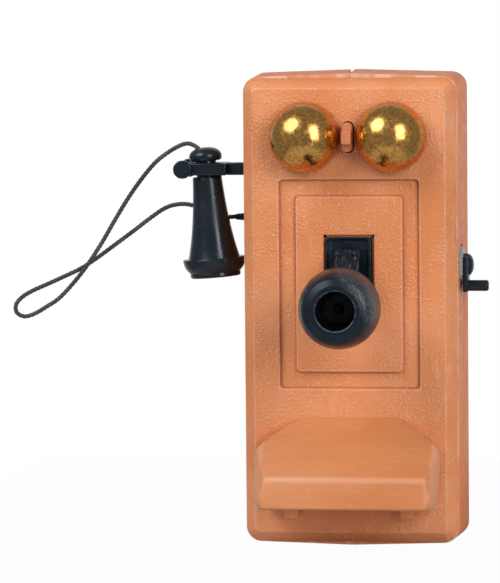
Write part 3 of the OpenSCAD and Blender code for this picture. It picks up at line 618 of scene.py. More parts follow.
# %% Mould the bracket
HINGE_Y, HINGE_Z = FACE_Y - 1.6, size_of("hinge_pin")[0].z
mount = to_piece(plate(9.9, 12.6, 0.9, FACE_Y + 0.3, INNER_Y + 0.2, WINDOW_Z + 0.1, -0.2),
                 "transmitter_mount", "case", "transmitter_bracket")
carve(mount, cutter(plate(8.7, 11.6, 0.5, FACE_Y - 1, FACE_Y + 0.75, WINDOW_Z + 0.1, -0.35)))
soften(mount, 0.16, 2)

EAR_OUT, EAR_IN, EAR_TALL = 2.65, 1.15, 1.35
half = (EAR_OUT - EAR_IN) / 2 - 0.03
ears = []
for side in (-1, 1):
    x = side * (EAR_OUT + EAR_IN) / 2
    knuckle = turned([(0, -half), (EAR_TALL - 0.05, -half), (EAR_TALL, 0.05 - half),
                      (EAR_TALL, half - 0.08), (EAR_TALL - 0.08, half), (0, half)], 48)
    spot = Matrix.Translation((x, HINGE_Y, HINGE_Z)) @ Matrix.Rotation(side * math.pi / 2, 4, "Y")
    ears.append(place(knuckle, spot))
    ears.append(block((x - half, HINGE_Y, HINGE_Z - EAR_TALL),
                      (x + half, FACE_Y + 0.7, HINGE_Z + EAR_TALL)))
ears.append(block((-0.09, FACE_Y + 0.45, HINGE_Z + 1.4), (0.09, FACE_Y + 0.68, HINGE_Z + 3.9)))
ears.append(plate(14.4, 20.4, 0.9, INNER_Y + 0.02, INNER_Y + 1.2, WINDOW_Z))
mount_ears = to_piece(merged(*ears), "mount_ears", "case", "transmitter_bracket")
soften(mount_ears, 0.07, 2)
print("hinge at y = %.1f, z = %.1f mm" % (HINGE_Y, HINGE_Z))

# %% Mould the arm
CUP_OUT, CUP_Z, CUP_BACK, KNUCKLE_L = 17.0, 2.0, 4.6, 1.1
CUP_Y = FACE_Y - CUP_OUT
run, drop = HINGE_Y - CUP_Y - CUP_BACK + 0.8, HINGE_Z - CUP_Z
reach = math.hypot(run, drop)
tilt = Matrix.Translation((0, HINGE_Y, HINGE_Z)) @ Matrix.Rotation(math.atan2(drop, run), 4, "X")
knuckle = turned(eased([(0, -KNUCKLE_L), (1.34, -KNUCKLE_L), (1.34, KNUCKLE_L), (0, KNUCKLE_L)],
                       0.05, 2), 48)
boss = turned(eased([(0, 0), (3, 0), (3, 2.2), (0, 2.2)], 0.3), 48)
stem_parts = [place(knuckle, pointing_right(0, HINGE_Y, HINGE_Z)),
              place(block((-KNUCKLE_L, -2.8, -1.2), (KNUCKLE_L, 0, 1.3)), tilt),
              place(block((-2.65, 0.9 - reach, -1.15), (2.65, -1.55, 1.25), 0.55, "y", 4), tilt),
              place(boss, Matrix.Translation((0, CUP_Y + CUP_BACK, CUP_Z))
                    @ Matrix.Rotation(-math.pi / 2, 4, "X"))]
stem = to_piece(merged(*stem_parts), "transmitter_stem", "transmitter", "transmitter_arm")
soften(stem, 0.18, 3)
print("arm is %.1f mm long" % reach)

# %% [markdown]
# ## The transmitter
#
# The transmitter is a shallow cup behind and a swelling horn in front, which
# draws in to a flat lip round a deep bore. Both are turned. At the bottom of the
# bore sits a small low dome.

# %% Turn the cup
CUP_R = 8.6
outline = [(0, -CUP_BACK), (3.4, -CUP_BACK), (6.6, -3.4), (8.0, -2.3), (CUP_R, -0.6),
           (CUP_R, -0.03), (7.4, -0.03), (7.4, -0.8), (6.0, -2.3), (3, -3.4), (0, -3.4)]
cup = to_piece(place(turned(eased(outline, 0.5), 96), facing_out(0, CUP_Y, CUP_Z)),
               "transmitter_shell", "transmitter", "transmitter_cup")
print("cup:", len(cup.data.polygons), "faces")

# %% Turn the horn and the dome in its bore
LIP_R, BORE_R, MOUTH_L, FLOOR = 5.7, 4.1, 9.0, 1.1
lip_start = LIP_R + 0.08
flank = [(lip_start + (CUP_R - lip_start) * math.cos(a) ** 0.85,
          0.7 + (MOUTH_L - 1.15) * math.sin(a) ** 1.15)
         for a in (math.radians(k) for k in range(5, 90, 5))]
lip = [(LIP_R + 0.02, MOUTH_L - 0.3), (LIP_R - 0.12, MOUTH_L - 0.12), (LIP_R - 0.35, MOUTH_L),
       (BORE_R + 0.35, MOUTH_L), (BORE_R + 0.14, MOUTH_L - 0.06), (BORE_R + 0.02, MOUTH_L - 0.2)]
bore = [(BORE_R, MOUTH_L - 0.45), (BORE_R - 0.15, MOUTH_L * 0.6), (BORE_R - 0.6, FLOOR + 0.4),
        (BORE_R - 1.0, FLOOR), (0, FLOOR)]
foot = [(0, 0.02), (CUP_R - 0.25, 0.02), (CUP_R, 0.25), (CUP_R, 0.6)]
horn = to_piece(place(turned(foot + flank + lip + bore, 128), facing_out(0, CUP_Y, CUP_Z)),
                "mouth_horn", "transmitter", "mouthpiece")
dome = [(1.15 * math.sin(a), FLOOR - 0.02 + 1.1 * math.cos(a))
        for a in (math.pi / 2 * k / 12 for k in range(13))]
bore_dome = to_piece(place(turned([(0, FLOOR + 1.08)] + dome[1:] + [(0, FLOOR - 0.02)], 40),
                           facing_out(0, CUP_Y, CUP_Z)), "bore_dome", "transmitter", "diaphragm")
print("horn:", len(horn.data.polygons), "faces")

# %% [markdown]
# ## The receiver
#
# The receiver hangs at a slight lean, its foot towards the case. It is turned in
# three pieces along its own axis: a long body that flares like a trumpet, a low
# domed crown that rests over the hook, and an ear cap with a sharp upper edge.

# %% Turn the receiver's body
LEAN = math.radians(4.5)
BODY_TOP, BODY_L, NECK_R, NECK_L, EAR_R, EAR_H = 3.2, 17.4, 2.25, 4.2, 6.85, 3.3
BESIDE = 0.22
receiver_x = (BACK_W / 2 + BESIDE + EAR_R * math.cos(LEAN)
              + (NECK_L / 2 + BODY_L + EAR_H) * math.sin(LEAN))
hang = Matrix.Translation((-receiver_x, HOOK_Y, HOOK_Z)) @ Matrix.Rotation(-LEAN, 4, "Y")
NECK_HIGH, NECK_LOW = NECK_L / 2, -NECK_L / 2
BODY_LOW = NECK_LOW - BODY_L
flare = [(BODY_TOP + 2.4 * (0.45 * t + 0.55 * t ** 2.4), NECK_LOW - t * BODY_L)
         for t in (k / 24 for k in range(1, 25))]
outline = ([(0, NECK_HIGH), (NECK_R, NECK_HIGH), (NECK_R, NECK_LOW + 0.42),
            (2.9, NECK_LOW + 0.4), (3.1, NECK_LOW + 0.32), (BODY_TOP, NECK_LOW + 0.1)] + flare
           + [(4.5, BODY_LOW), (2.1, NECK_LOW - 4.4), (0, NECK_LOW - 4.4)])
handle = to_piece(place(turned(outline, 96), hang), "receiver_handle", "receiver", "receiver_body")
print("receiver's axis is %.1f mm left of the middle" % receiver_x)

# %% Turn its crown and its ear cap
crown_dome = [(3.6 * math.cos(a) ** 0.8, NECK_HIGH + 0.55 + 2.05 * math.sin(a))
              for a in (math.pi / 2 * k / 14 for k in range(14))]
outline = [(0, NECK_HIGH - 0.4), (3.0, NECK_HIGH - 0.4), (3.4, NECK_HIGH - 0.22),
           (3.57, NECK_HIGH + 0.15)] + crown_dome + [(0, NECK_HIGH + 2.6)]
crown = to_piece(place(turned(outline, 96), hang), "receiver_crown", "receiver", "receiver_cap")

outline = [(1.2, -0.02), (6.45, -0.02), (6.75, -0.04), (EAR_R, -0.2), (6.8, -0.75),
           (6.6, -1.6), (6.2, -2.4), (5.7, -2.95), (5.45, -3.22), (5.5, -3.36), (5.5, -3.86),
           (5.3, -4.16), (4.6, -4.2), (3.8, -3.8), (2.4, -3.4), (1.25, -3.3), (1.2, -3.1),
           (1.2, -0.02)]
outline = [(radius, BODY_LOW + z) for radius, z in outline]
ear = to_piece(place(turned(outline, 96), hang), "receiver_ear", "receiver", "ear_cap")
print("ear cap:", len(ear.data.polygons), "faces")

# %% [markdown]
# ## The hook
#
# A flat arm comes through the left wall and forks round the receiver's neck. Each
# prong ends in a small upright disc, cut in short straight facets, that keeps the
# receiver from slipping off.

# %% Mould the fork
FORK_HALF, PRONG_IN, BAR_HALF = 4.05, 2.65, 1.35
tip_x = -receiver_x - 4.6
root_x = -receiver_x + PRONG_IN
fork = to_piece(block((tip_x, HOOK_Y - FORK_HALF, HOOK_Z - BAR_HALF),
                      (root_x + 2.2, HOOK_Y + FORK_HALF, HOOK_Z + BAR_HALF)),
                "hook_fork", "hook", "hook_arm")
round_end = turned([(0, -4), (PRONG_IN, -4), (PRONG_IN, 4), (0, 4)], 64)
gap = merged(block((tip_x - 4, HOOK_Y - PRONG_IN, HOOK_Z - 4),
                   (-receiver_x, HOOK_Y + PRONG_IN, HOOK_Z + 4)),
             place(round_end, Matrix.Translation((-receiver_x, HOOK_Y, HOOK_Z))))
carve(fork, cutter(gap))
soften(fork, 0.35, 3)
print("fork tips at x = %.1f mm" % tip_x)

# %% Mould the arm, its eye and the round tips
ARM_HALF, EYE_X, EYE_R, EYE_BORE = 1.5, -18.75, 2.0, 0.86
eye = turned([(EYE_BORE, -ARM_HALF), (EYE_R, -ARM_HALF), (EYE_R, ARM_HALF),
              (EYE_BORE, ARM_HALF), (EYE_BORE, -ARM_HALF)], 48)
arm_parts = [block((root_x + 1.9, HOOK_Y - ARM_HALF, HOOK_Z - BAR_HALF),
                   (-19.9, HOOK_Y + ARM_HALF, HOOK_Z + BAR_HALF)),
             place(eye, facing_out(EYE_X, HOOK_Y, HOOK_Z))]
for side in (-1, 1):
    disc = bmesh.new()
    bmesh.ops.create_cone(disc, cap_ends=True, segments=8, radius1=2.12, radius2=2.12, depth=1.4)
    rims = [e for e in disc.edges if abs(e.verts[0].co.z - e.verts[1].co.z) > 1]
    bmesh.ops.bevel(disc, geom=rims, offset=0.5, segments=3, profile=0.5, affect="EDGES",
                    material=-1)
    spot = Matrix.Translation((tip_x, HOOK_Y + side * 4.6, HOOK_Z))
    arm_parts.append(place(disc, spot @ Matrix.Rotation(math.pi / 2, 4, "X")
                           @ Matrix.Rotation(math.radians(22.5), 4, "Z")))
hook_bar = to_piece(merged(*arm_parts), "hook_bar", "hook", "hook_arm")
soften(hook_bar, 0.22, 3)
print("arm and tips:", len(hook_bar.data.polygons), "faces")

# %% [markdown]
# ## The crank
#
# The crank is a flat black lever on the right side. Its hub swells out in a
# rounded boss, and a stubby round grip at its lower end points away from the
# case. The grip's end is well rounded, as a thumb would like it. The lever is a
# block with rounded corners, and the boss and the grip are turned.

# %% Mould the crank
CRANK_Y, CRANK_Z, THROW = wheel_mid.y, wheel_mid.z, 4.5
FACE_X = BACK_W / 2 + 0.1
GRIP_R, GRIP_L, GRIP_ROUND = 1.2, 5.4, 0.55
hub = [(0, 0), (2.3, 0), (2.5, 0.2), (2.5, 0.75), (2.38, 1.15), (2.1, 1.55), (1.6, 1.9),
       (0.9, 2.14), (0, 2.2)]
lever_parts = [place(turned(hub, 64), pointing_right(FACE_X, CRANK_Y, CRANK_Z)),
               block((FACE_X, CRANK_Y - 3.3, CRANK_Z - THROW - 1.3),
                     (FACE_X + 1.15, CRANK_Y + 2.2, CRANK_Z + 1.9), 1.1, "x", 6)]
lever = to_piece(merged(*lever_parts), "crank_lever", "crank", "crank_arm")
soften(lever, 0.3, 3, angle=50)
grip = [(0, 0), (GRIP_R, 0), (GRIP_R, 4.75)]
grip += [(GRIP_R - GRIP_ROUND + GRIP_ROUND * math.cos(a),
          GRIP_L - GRIP_ROUND + GRIP_ROUND * math.sin(a))
         for a in (math.pi / 2 * k / 6 for k in range(7))] + [(0, GRIP_L)]
crank_grip = to_piece(place(turned(grip, 48), pointing_right(FACE_X, CRANK_Y, CRANK_Z - THROW)),
                      "crank_grip", "crank", "crank_handle")
print("crank's grip ends at x = %.1f mm" % (FACE_X + GRIP_L))

# %% [markdown]
# ## The writing desk
#
# Below the recess a solid little desk slopes forward. Its back corners are cut
# away, a shallow strip runs down each side, and the front edge turns under in a
# soft crease. A few points are wrapped in a convex hull, which gives exactly such
# a faceted solid, and the edges are then rounded.

# %% Wrap the desk
SHELF_TOP, SHELF_LOW = -22.7, -CASE_H / 2 + 8.2
DESK_CORNERS = [(10.8, 0.0, SHELF_TOP), (17.4, 4.1, SHELF_TOP - 4.15),
                (19.75, 5.8, SHELF_TOP - 6.4), (19.7, 0.0, SHELF_TOP - 8.6),
                (16.9, 12.5, SHELF_TOP - 12.1), (19.75, 11.0, SHELF_TOP - 15.9),
                (18.6, 13.1, SHELF_LOW + 3.2), (17.7, 14.4, SHELF_LOW + 0.7),
                (18.9, 10.4, SHELF_LOW), (18.6, 0.0, SHELF_LOW)]
bm = bmesh.new()
for side in (-1, 1):
    for x, out, z in DESK_CORNERS:
        bm.verts.new((side * x, FACE_Y - out, z))
bmesh.ops.convex_hull(bm, input=bm.verts)
bmesh.ops.dissolve_limit(bm, angle_limit=math.radians(2), verts=bm.verts, edges=bm.edges)
desk = to_piece(bm, "writing_desk", "case", "writing_shelf")
soften(desk, 0.5, 4, angle=6, sharp_from=40)
print("desk:", len(desk.data.polygons), "faces")

# %% Mould its feet
FEET_X, FEET_OUT, FEET_HALF = 12.5, 3.4, 1.6
feet = merged(*[block((x - FEET_HALF, FACE_Y - FEET_OUT, SHELF_LOW - 2.8),
                      (x + FEET_HALF, FACE_Y, SHELF_LOW + 0.2), 0.7, "x", 4)
                for x in (-FEET_X, FEET_X)])
desk_feet = to_piece(feet, "desk_feet", "case", "shelf_feet")
soften(desk_feet, 0.35, 3)
print("feet at %.1f mm either side" % FEET_X)

# %% [markdown]
# ## Finishes: small tools for building shader nodes
#
# A finish is a small machine of nodes. A few helpers keep it readable: one places
# a node and fills its sockets, with a number or with another node's output, and
# the rest are short names for the sums, mixes and steps that every finish uses.
# All patterns are read from Object coordinates in metres, so a noise scale of 1000
# gives details about a millimetre wide.

# %% Place a node, mix colours, make soft steps
def put(tree, kind, inputs=None, **settings):
    """A new node with its settings and its sockets filled in."""
    made = tree.nodes.new(kind)
    for key, value in settings.items():
        setattr(made, key, value)
    for key, value in (inputs or {}).items():
        if isinstance(value, bpy.types.NodeSocket):
            tree.links.new(value, made.inputs[key])
        else:
            made.inputs[key].default_value = value
    return made


def blend(tree, factor, a, b):
    """Mix two colours, each one (red, green, blue) or another node's output."""
    a, b = (c if isinstance(c, bpy.types.NodeSocket) else (*c, 1.0) for c in (a, b))
    return put(tree, "ShaderNodeMix", {0: factor, 6: a, 7: b}, data_type="RGBA").outputs[2]


def between(tree, value, low, high, start=0.0, end=1.0):
    """Turn a range of values into a soft step."""
    made = put(tree, "ShaderNodeMapRange", {"Value": value, "From Min": low, "From Max": high,
                                            "To Min": start, "To Max": end},
               interpolation_type="SMOOTHSTEP")
    return made.outputs[0]


def noise(tree, vector, scale, detail=2.0, rough=0.5):
    return put(tree, "ShaderNodeTexNoise", {"Vector": vector, "Scale": scale, "Detail": detail,
                                            "Roughness": rough}).outputs["Fac"]


def stretched(tree, vector, scale, turn=(0.0, 0.0, 0.0), shift=(0.0, 0.0, 0.0)):
    return put(tree, "ShaderNodeMapping", {"Vector": vector, "Scale": scale, "Rotation": turn,
                                           "Location": shift}).outputs[0]


# %% Sums with the values of nodes
def work_out(tree, how, a, b=0.0, c=0.0):
    return put(tree, "ShaderNodeMath", {0: a, 1: b, 2: c}, operation=how).outputs[0]


def plus(tree, a, b):
    return work_out(tree, "ADD", a, b)


def times(tree, a, b):
    return work_out(tree, "MULTIPLY", a, b)


def times_plus(tree, a, b, c):
    """a times b, plus c."""
    return work_out(tree, "MULTIPLY_ADD", a, b, c)


def higher(tree, a, b):
    return work_out(tree, "MAXIMUM", a, b)


def away(tree, value, centre=0.0):
    """How far a value is from a centre, on either side."""
    return work_out(tree, "ABSOLUTE", work_out(tree, "SUBTRACT", value, centre))


def stain(tree, tint, mask, colour, share=1.0):
    """Colour a tint where the mask says so, as strongly as the share."""
    return blend(tree, times(tree, mask, share), tint, colour)


def axes_of(tree, vector):
    """The x, y and z of a vector."""
    return put(tree, "ShaderNodeSeparateXYZ", {0: vector}).outputs


def off_axis(tree, vector):
    """The distance from the axis that runs front to back."""
    flat = put(tree, "ShaderNodeVectorMath", {0: vector, 1: (1.0, 0.0, 1.0)},
               operation="MULTIPLY").outputs[0]
    return put(tree, "ShaderNodeVectorMath", {0: flat}, operation="LENGTH").outputs["Value"]


# %% Make a node group and use it
def group_of(name, inputs, outputs):
    """A shader node group with named sockets; gives the tree, its inputs and its outputs."""
    tree = bpy.data.node_groups.new(name, "ShaderNodeTree")
    for label, value in inputs:
        kind = "NodeSocketVector" if value is None else "NodeSocketFloat"
        socket = tree.interface.new_socket(name=label, in_out="INPUT", socket_type=kind)
        if value is not None:
            socket.default_value = value
    for label in outputs:
        tree.interface.new_socket(name=label, in_out="OUTPUT", socket_type="NodeSocketFloat")
    return tree, tree.nodes.new("NodeGroupInput").outputs, tree.nodes.new("NodeGroupOutput").inputs


def use(tree, group, **inputs):
    """Place a group in a tree; an underscore in a socket's name stands for a space."""
    made = tree.nodes.new("ShaderNodeGroup")
    made.node_tree = group
    for key, value in inputs.items():
        socket = made.inputs[key.replace("_", " ")]
        if isinstance(value, bpy.types.NodeSocket):
            tree.links.new(value, socket)
        else:
            socket.default_value = value
    return made.outputs


# %% [markdown]
# ## The skin of the moulding
#
# The case's plastic was pressed against a sand-blasted mould. Its skin is a
# hammered orange peel: low blisters half a millimetre wide that lie in patches,
# with finer grain between them. One noise gives the blisters and a finer one the
# grain, and a broad noise fades both in and out. The group also puts out the
# blisters' crests, which the finishes paint paler as a painted highlight.

# %% Orange peel
peel, given, gives = group_of("orange_peel", [("Vector", None), ("Bump Scale", 1700.0),
                                              ("Patch Scale", 150.0)], ["Height", "Crest Highlights"])
blisters = between(peel, noise(peel, given["Vector"], given["Bump Scale"], 1.0), 0.44, 0.72)
fine = noise(peel, given["Vector"], times(peel, given["Bump Scale"], 2.3), 2.0)
patches = noise(peel, given["Vector"], given["Patch Scale"], 3.0, 0.6)
patches = between(peel, patches, 0.36, 0.56, 0.3, 1.0)
height = times(peel, times_plus(peel, fine, 0.3, blisters), patches)
peel.links.new(height, gives["Height"])
# A mask of the blisters' crests, which the finishes paint paler: a painted highlight.
crest_highlights = times(peel, between(peel, blisters, 0.35, 1.0), patches)
peel.links.new(crest_highlights, gives["Crest Highlights"])
print("group:", peel.name)

# %% [markdown]
# ## Flow lines
#
# Plastic that cooled as it ran leaves fine upright lines. They are long and thin,
# so the pattern's space is squeezed in height before a noise reads it, and pushed
# a little sideways, so that they waver. A broad noise limits them to some places.

# %% Upright grain
grain, given, gives = group_of("flow_lines", [("Vector", None), ("Line Scale", 1300.0),
                                              ("Amount", 0.5)], ["Height"])
bent = put(grain, "ShaderNodeTexNoise", {"Vector": given["Vector"], "Scale": 380.0, "Detail": 1.0})
wave = put(grain, "ShaderNodeVectorMath", {0: bent.outputs["Color"], 1: (0.0011, 0.0, 0.0)},
           operation="MULTIPLY").outputs[0]
wavy = put(grain, "ShaderNodeVectorMath", {0: given["Vector"], 1: wave}).outputs[0]
squeezed = stretched(grain, wavy, (1.0, 1.0, 0.13))
lines = between(grain, noise(grain, squeezed, given["Line Scale"], 2.0, 0.6), 0.5, 0.68)
where = stretched(grain, given["Vector"], (1.0, 1.0, 0.4))
spots = between(grain, noise(grain, where, 150.0, 2.0), 0.44, 0.6)
height = times(grain, lines, times(grain, spots, given["Amount"]))
grain.links.new(height, gives["Height"])
print("group:", grain.name)

# %% [markdown]
# ## Dust and hair scratches
#
# Dust lies as scattered pale specks. Cells of a Voronoi pattern give one random
# point each, and a second value keeps only a few. Scratches are noises squeezed
# so far that they become hairlines, laid in three directions.

# %% Dust specks
dust, given, gives = group_of("dust_specks", [("Vector", None), ("Scale", 900.0),
                                              ("Share", 0.2)], ["Mask"])
cells = put(dust, "ShaderNodeTexVoronoi", {"Vector": given["Vector"], "Scale": given["Scale"]})
dot = between(dust, cells.outputs["Distance"], 0.22, 0.1)
pick = put(dust, "ShaderNodeSeparateColor", {"Color": cells.outputs["Color"]}).outputs[0]
few = work_out(dust, "LESS_THAN", pick, given["Share"])
dust.links.new(times(dust, dot, few), gives["Mask"])
print("group:", dust.name)

# %% Hair scratches
hair, given, gives = group_of("hair_scratches", [("Vector", None), ("Scale", 900.0),
                                                 ("Share", 0.5)], ["Mask"])
total = None
for turn, shift in (((0.3, 0.5, 0.2), 0.0), ((1.2, 2.1, 0.9), 0.4), ((0.7, -1.1, 2.2), 0.8)):
    laid = stretched(hair, given["Vector"], (1.0, 1.0, 0.035), turn, (shift, shift, 0.0))
    one = between(hair, noise(hair, laid, given["Scale"], 2.0, 0.6), 0.66, 0.74)
    gate = between(hair, noise(hair, given["Vector"], 260.0 + 90.0 * shift, 1.0), 0.5, 0.62)
    one = times(hair, one, gate)
    total = one if total is None else higher(hair, total, one)
hair.links.new(times(hair, total, given["Share"]), gives["Mask"])
print("group:", hair.name)

# %% [markdown]
# ## Turning rings
#
# A lathe leaves rings that are finer than one can count. Their height depends only
# on the distance from the axis, so the group measures that distance and reads a
# noise along it. Each material moves the axis to its own piece with a Mapping node.

# %% Rings round an axis
rings, given, gives = group_of("turning_rings", [("Vector", None), ("Ring Scale", 5000.0)],
                               ["Height"])
one_way = put(rings, "ShaderNodeTexNoise", {"W": off_axis(rings, given["Vector"]),
                                            "Scale": given["Ring Scale"], "Detail": 3.0},
              noise_dimensions="1D")
rings.links.new(one_way.outputs["Fac"], gives["Height"])
print("group:", rings.name)

# %% [markdown]
# ## A material to start from
#
# Every finish starts alike, from a Principled shader with a plain colour and
# roughness that reads Object coordinates, and most end with a bump. One function
# for each keeps the finishes below down to what is special about them.

# %% Start a finish, end it with a bump
def finish(name, colour, roughness, **sockets):
    """A new material: its tree, its Principled shader and its Object coordinates."""
    material = bpy.data.materials.new(name)
    material.use_nodes = True
    tree = material.node_tree
    shader = tree.nodes["Principled BSDF"]
    shader.inputs["Base Color"].default_value = (*colour, 1.0)
    shader.inputs["Roughness"].default_value = roughness
    for key, value in sockets.items():
        shader.inputs[key.replace("_", " ")].default_value = value
    return material, tree, shader, put(tree, "ShaderNodeTexCoord").outputs["Object"]


def bump(tree, shader, height, distance):
    """Turn a height into relief, at most so many millimetres tall."""
    made = put(tree, "ShaderNodeBump", {"Height": height, "Distance": distance * MM,
                                        "Strength": 1.0})
    tree.links.new(made.outputs[0], shader.inputs["Normal"])


# %% [markdown]
# ## Painted light and shade on the case's edges
#
# Three kinds of mark lie over the plain colour, mostly painted light and shade:
# a painted shade at the foot of the border's and the panel's walls with a painted
# highlight along their top edges, a painted highlight round the lip of the
# striker's slot, and a pale line at the joint of the two mouldings and the front
# rim of the bevel, partly wear and partly painted highlight. Each is found
# from its distance to a line that the pieces' own sizes give.

# %% Painted light and shade, and some wear, on the border, the slot and the joint
def panel_shade_and_highlight(tree, space, tint):
    """Paint shade at the foot of the border's and the panel's walls, and a highlight along their
    top edges.
    """
    x, y, z = axes_of(tree, space)
    sunk = between(tree, y, (FACE_Y + 0.35) * MM, (FACE_Y + 0.8) * MM)
    proud = between(tree, y, (FACE_Y + 0.35) * MM, (FACE_Y + 0.2) * MM)
    for width, height, foot_at, edge_at in ((BORDER_W, BORDER_H, -0.12, 0.1),
                                            (PANEL_W, PANEL_H, 0.12, -0.12)):
        side = plus(tree, away(tree, x), -width / 2 * MM)
        tall = plus(tree, away(tree, z, MIDDLE.z + PANEL_Z * MM), -height / 2 * MM)
        off = higher(tree, side, tall)
        foot = between(tree, away(tree, off, foot_at * MM), 0.45 * MM, 0.1 * MM, 0.0, 0.6)
        edge = between(tree, away(tree, off, edge_at * MM), 0.3 * MM, 0.08 * MM, 0.0, 0.4)
        # Painted shade at the foot of the walls, then a painted highlight along their top edges.
        tint = stain(tree, tint, times(tree, foot, sunk), (0.46, 0.115, 0.03))
        tint = stain(tree, tint, times(tree, edge, proud), (0.85, 0.47, 0.29))
    return tint


def slot_lip_highlight(tree, space, tint):
    """Paint a highlight round the lip of the striker's slot."""
    x, _, z = axes_of(tree, space)
    past = plus(tree, away(tree, z, MIDDLE.z + BELL_Z * MM), (SLOT_R - SLOT_H / 2) * MM)
    past = higher(tree, past, 0.0)
    off = work_out(tree, "SQRT", plus(tree, times(tree, past, past), times(tree, x, x)))
    lip = between(tree, off, (SLOT_R + 0.35) * MM, (SLOT_R + 0.13) * MM, 0.0, 0.55)
    # Painted highlight round the slot's lip.
    return stain(tree, tint, lip, (0.84, 0.42, 0.24))


def joint_wear_and_highlight(tree, space, tint):
    """Pale the joint of cover and shells in a ragged line, and the bevel's front rim: partly wear
    and partly a painted highlight.
    """
    x, y, z = axes_of(tree, space)
    line = times(tree, between(tree, y, (PART_Y - 0.2) * MM, PART_Y * MM),
                 between(tree, y, (PART_Y + 0.26) * MM, (PART_Y + 0.1) * MM))
    side = plus(tree, away(tree, x), (BEVEL - CASE_W / 2) * MM)
    tall = plus(tree, away(tree, z, MIDDLE.z), (BEVEL - CASE_H / 2) * MM)
    rim = between(tree, away(tree, higher(tree, side, tall)), 0.28 * MM, 0.04 * MM)
    line = higher(tree, line, times(tree, rim, 0.35))
    ragged = between(tree, noise(tree, space, 260.0, 3.0), 0.4, 0.6, 0.3, 0.8)
    # Partly wear and partly a painted highlight along the joint and the bevel's rim.
    return stain(tree, tint, times(tree, line, ragged), (0.85, 0.56, 0.42))


# %% [markdown]
# ## The orange-tan plastic
#
# The case's plastic is a warm tan, satin rather than glossy. Its colour drifts a
# little and grows deeper at the very top. The flow lines are paler, and they
# gather at the right and below, where the mould filled last; the peel's crests
# are paler too, as a painted highlight. The side shells are smoother than the
# cover, and their deeper colour is painted shade of the side walls. The back
# plate and the striker have no painted edge light, edge shade or wear marks.

# %% The tan finishes
CROWN_LOW, CROWN_HIGH = 48.3, 50.4
LINES_LEFT, LINES_RIGHT, LINES_TOP, LINES_LOW = 10.5, 14.5, -17.0, -26.0


def tan_plastic(name, colour, lined=0.45, edge_light_and_wear=True, peel_height=0.1, crest=0.32,
                shine=0.42, darker=0.5):
    """The case's plastic: how lined it is, whether its edges get painted light, shade and wear,
    how tall its peel, and how pale its flow lines and painted crest highlights.
    """
    material, tree, shader, space = finish(name, colour, 0.42, Specular_IOR_Level=shine)
    red, green, blue = colour
    drift = between(tree, noise(tree, space, 45.0, 3.0), 0.35, 0.7)
    tint = blend(tree, drift, (red * 0.95, green * 0.88, blue * 0.8),
                 (red * 1.06, green * 1.14, blue * 1.3))
    x, _, z = axes_of(tree, space)
    crown = between(tree, z, MIDDLE.z + CROWN_LOW * MM, MIDDLE.z + CROWN_HIGH * MM, 0.0, darker)
    tint = stain(tree, tint, crown, (0.5, 0.15, 0.04))
    right = between(tree, x, LINES_LEFT * MM, LINES_RIGHT * MM)
    low = between(tree, z, MIDDLE.z + LINES_TOP * MM, MIDDLE.z + LINES_LOW * MM)
    gathered = times_plus(tree, higher(tree, right, low), 0.75, lined)
    flow = use(tree, grain, Vector=space, Amount=gathered)["Height"]
    skin = use(tree, peel, Vector=space)
    specks = use(tree, dust, Vector=space, Scale=1500.0, Share=0.05)["Mask"]
    tint = stain(tree, tint, flow, (0.84, 0.47, 0.3), crest * 0.8)
    # Painted highlight: the peel's crests are tinted paler.
    tint = stain(tree, tint, skin["Crest Highlights"], (0.84, 0.48, 0.31), crest)
    tint = stain(tree, tint, specks, (0.86, 0.62, 0.48), 0.25)
    # Painted shade and highlights along the edges, with some wear at the joint.
    if edge_light_and_wear:
        for mark in (panel_shade_and_highlight, slot_lip_highlight, joint_wear_and_highlight):
            tint = mark(tree, space, tint)
    tree.links.new(tint, shader.inputs["Base Color"])
    satin = between(tree, noise(tree, space, 420.0, 3.0), 0.3, 0.7, 0.34, 0.5)
    tree.links.new(satin, shader.inputs["Roughness"])
    bump(tree, shader, times_plus(tree, flow, 0.8, skin["Height"]), peel_height)
    return material


# The shells' tan is deeper and redder than the cover's: painted shade of the side walls.
SHADED_SHELL_TAN = (0.785, 0.225, 0.065)
cover_finish = tan_plastic("cover_plastic", (0.745, 0.267, 0.101))
shell_finish = tan_plastic("shell_plastic", SHADED_SHELL_TAN, lined=0.25, peel_height=0.07,
                           crest=0.1, shine=0.1)
back_finish = tan_plastic("back_plastic", SHADED_SHELL_TAN, lined=0.25, edge_light_and_wear=False, peel_height=0.07,
                          crest=0.1, shine=0.1)
striker_finish = tan_plastic("striker_plastic", (0.62, 0.19, 0.072), lined=0.0, edge_light_and_wear=False,
                             peel_height=0.008, crest=0.05, shine=0.7, darker=0.0)
print("tan finishes ready")

# %% [markdown]
# ## The desk's brushed skin
#
# The desk's slope was rubbed smooth from side to side, so its lines lie level: a
# fine noise, squeezed along the width, gives them. A pale line along the crease
# where the front turns under is a painted highlight, and the paler outer strips
# at both sides are painted highlight too. Its tan is browner and darker than the
# cover's, partly its own colour and partly painted shade.

# %% The desk's finish
CREASE_DOWN = 12.3
# The desk's tan is browner and darker than the cover's: partly its own colour, partly painted
# shade.
desk_finish, tree, shader, space = finish("desk_plastic", (0.61, 0.215, 0.072), 0.4,
                                          Specular_IOR_Level=0.45)
x, y, z = axes_of(tree, space)
brushed = noise(tree, stretched(tree, space, (0.06, 1.0, 1.0)), 4200.0, 3.0, 0.6)
strokes = between(tree, brushed, 0.55, 0.72)
drift = between(tree, noise(tree, stretched(tree, space, (0.3, 1.0, 1.0)), 90.0, 3.0), 0.3, 0.7)
tint = blend(tree, drift, (0.57, 0.195, 0.062), (0.63, 0.235, 0.09))
tint = stain(tree, tint, strokes, (0.78, 0.42, 0.23), 0.24)
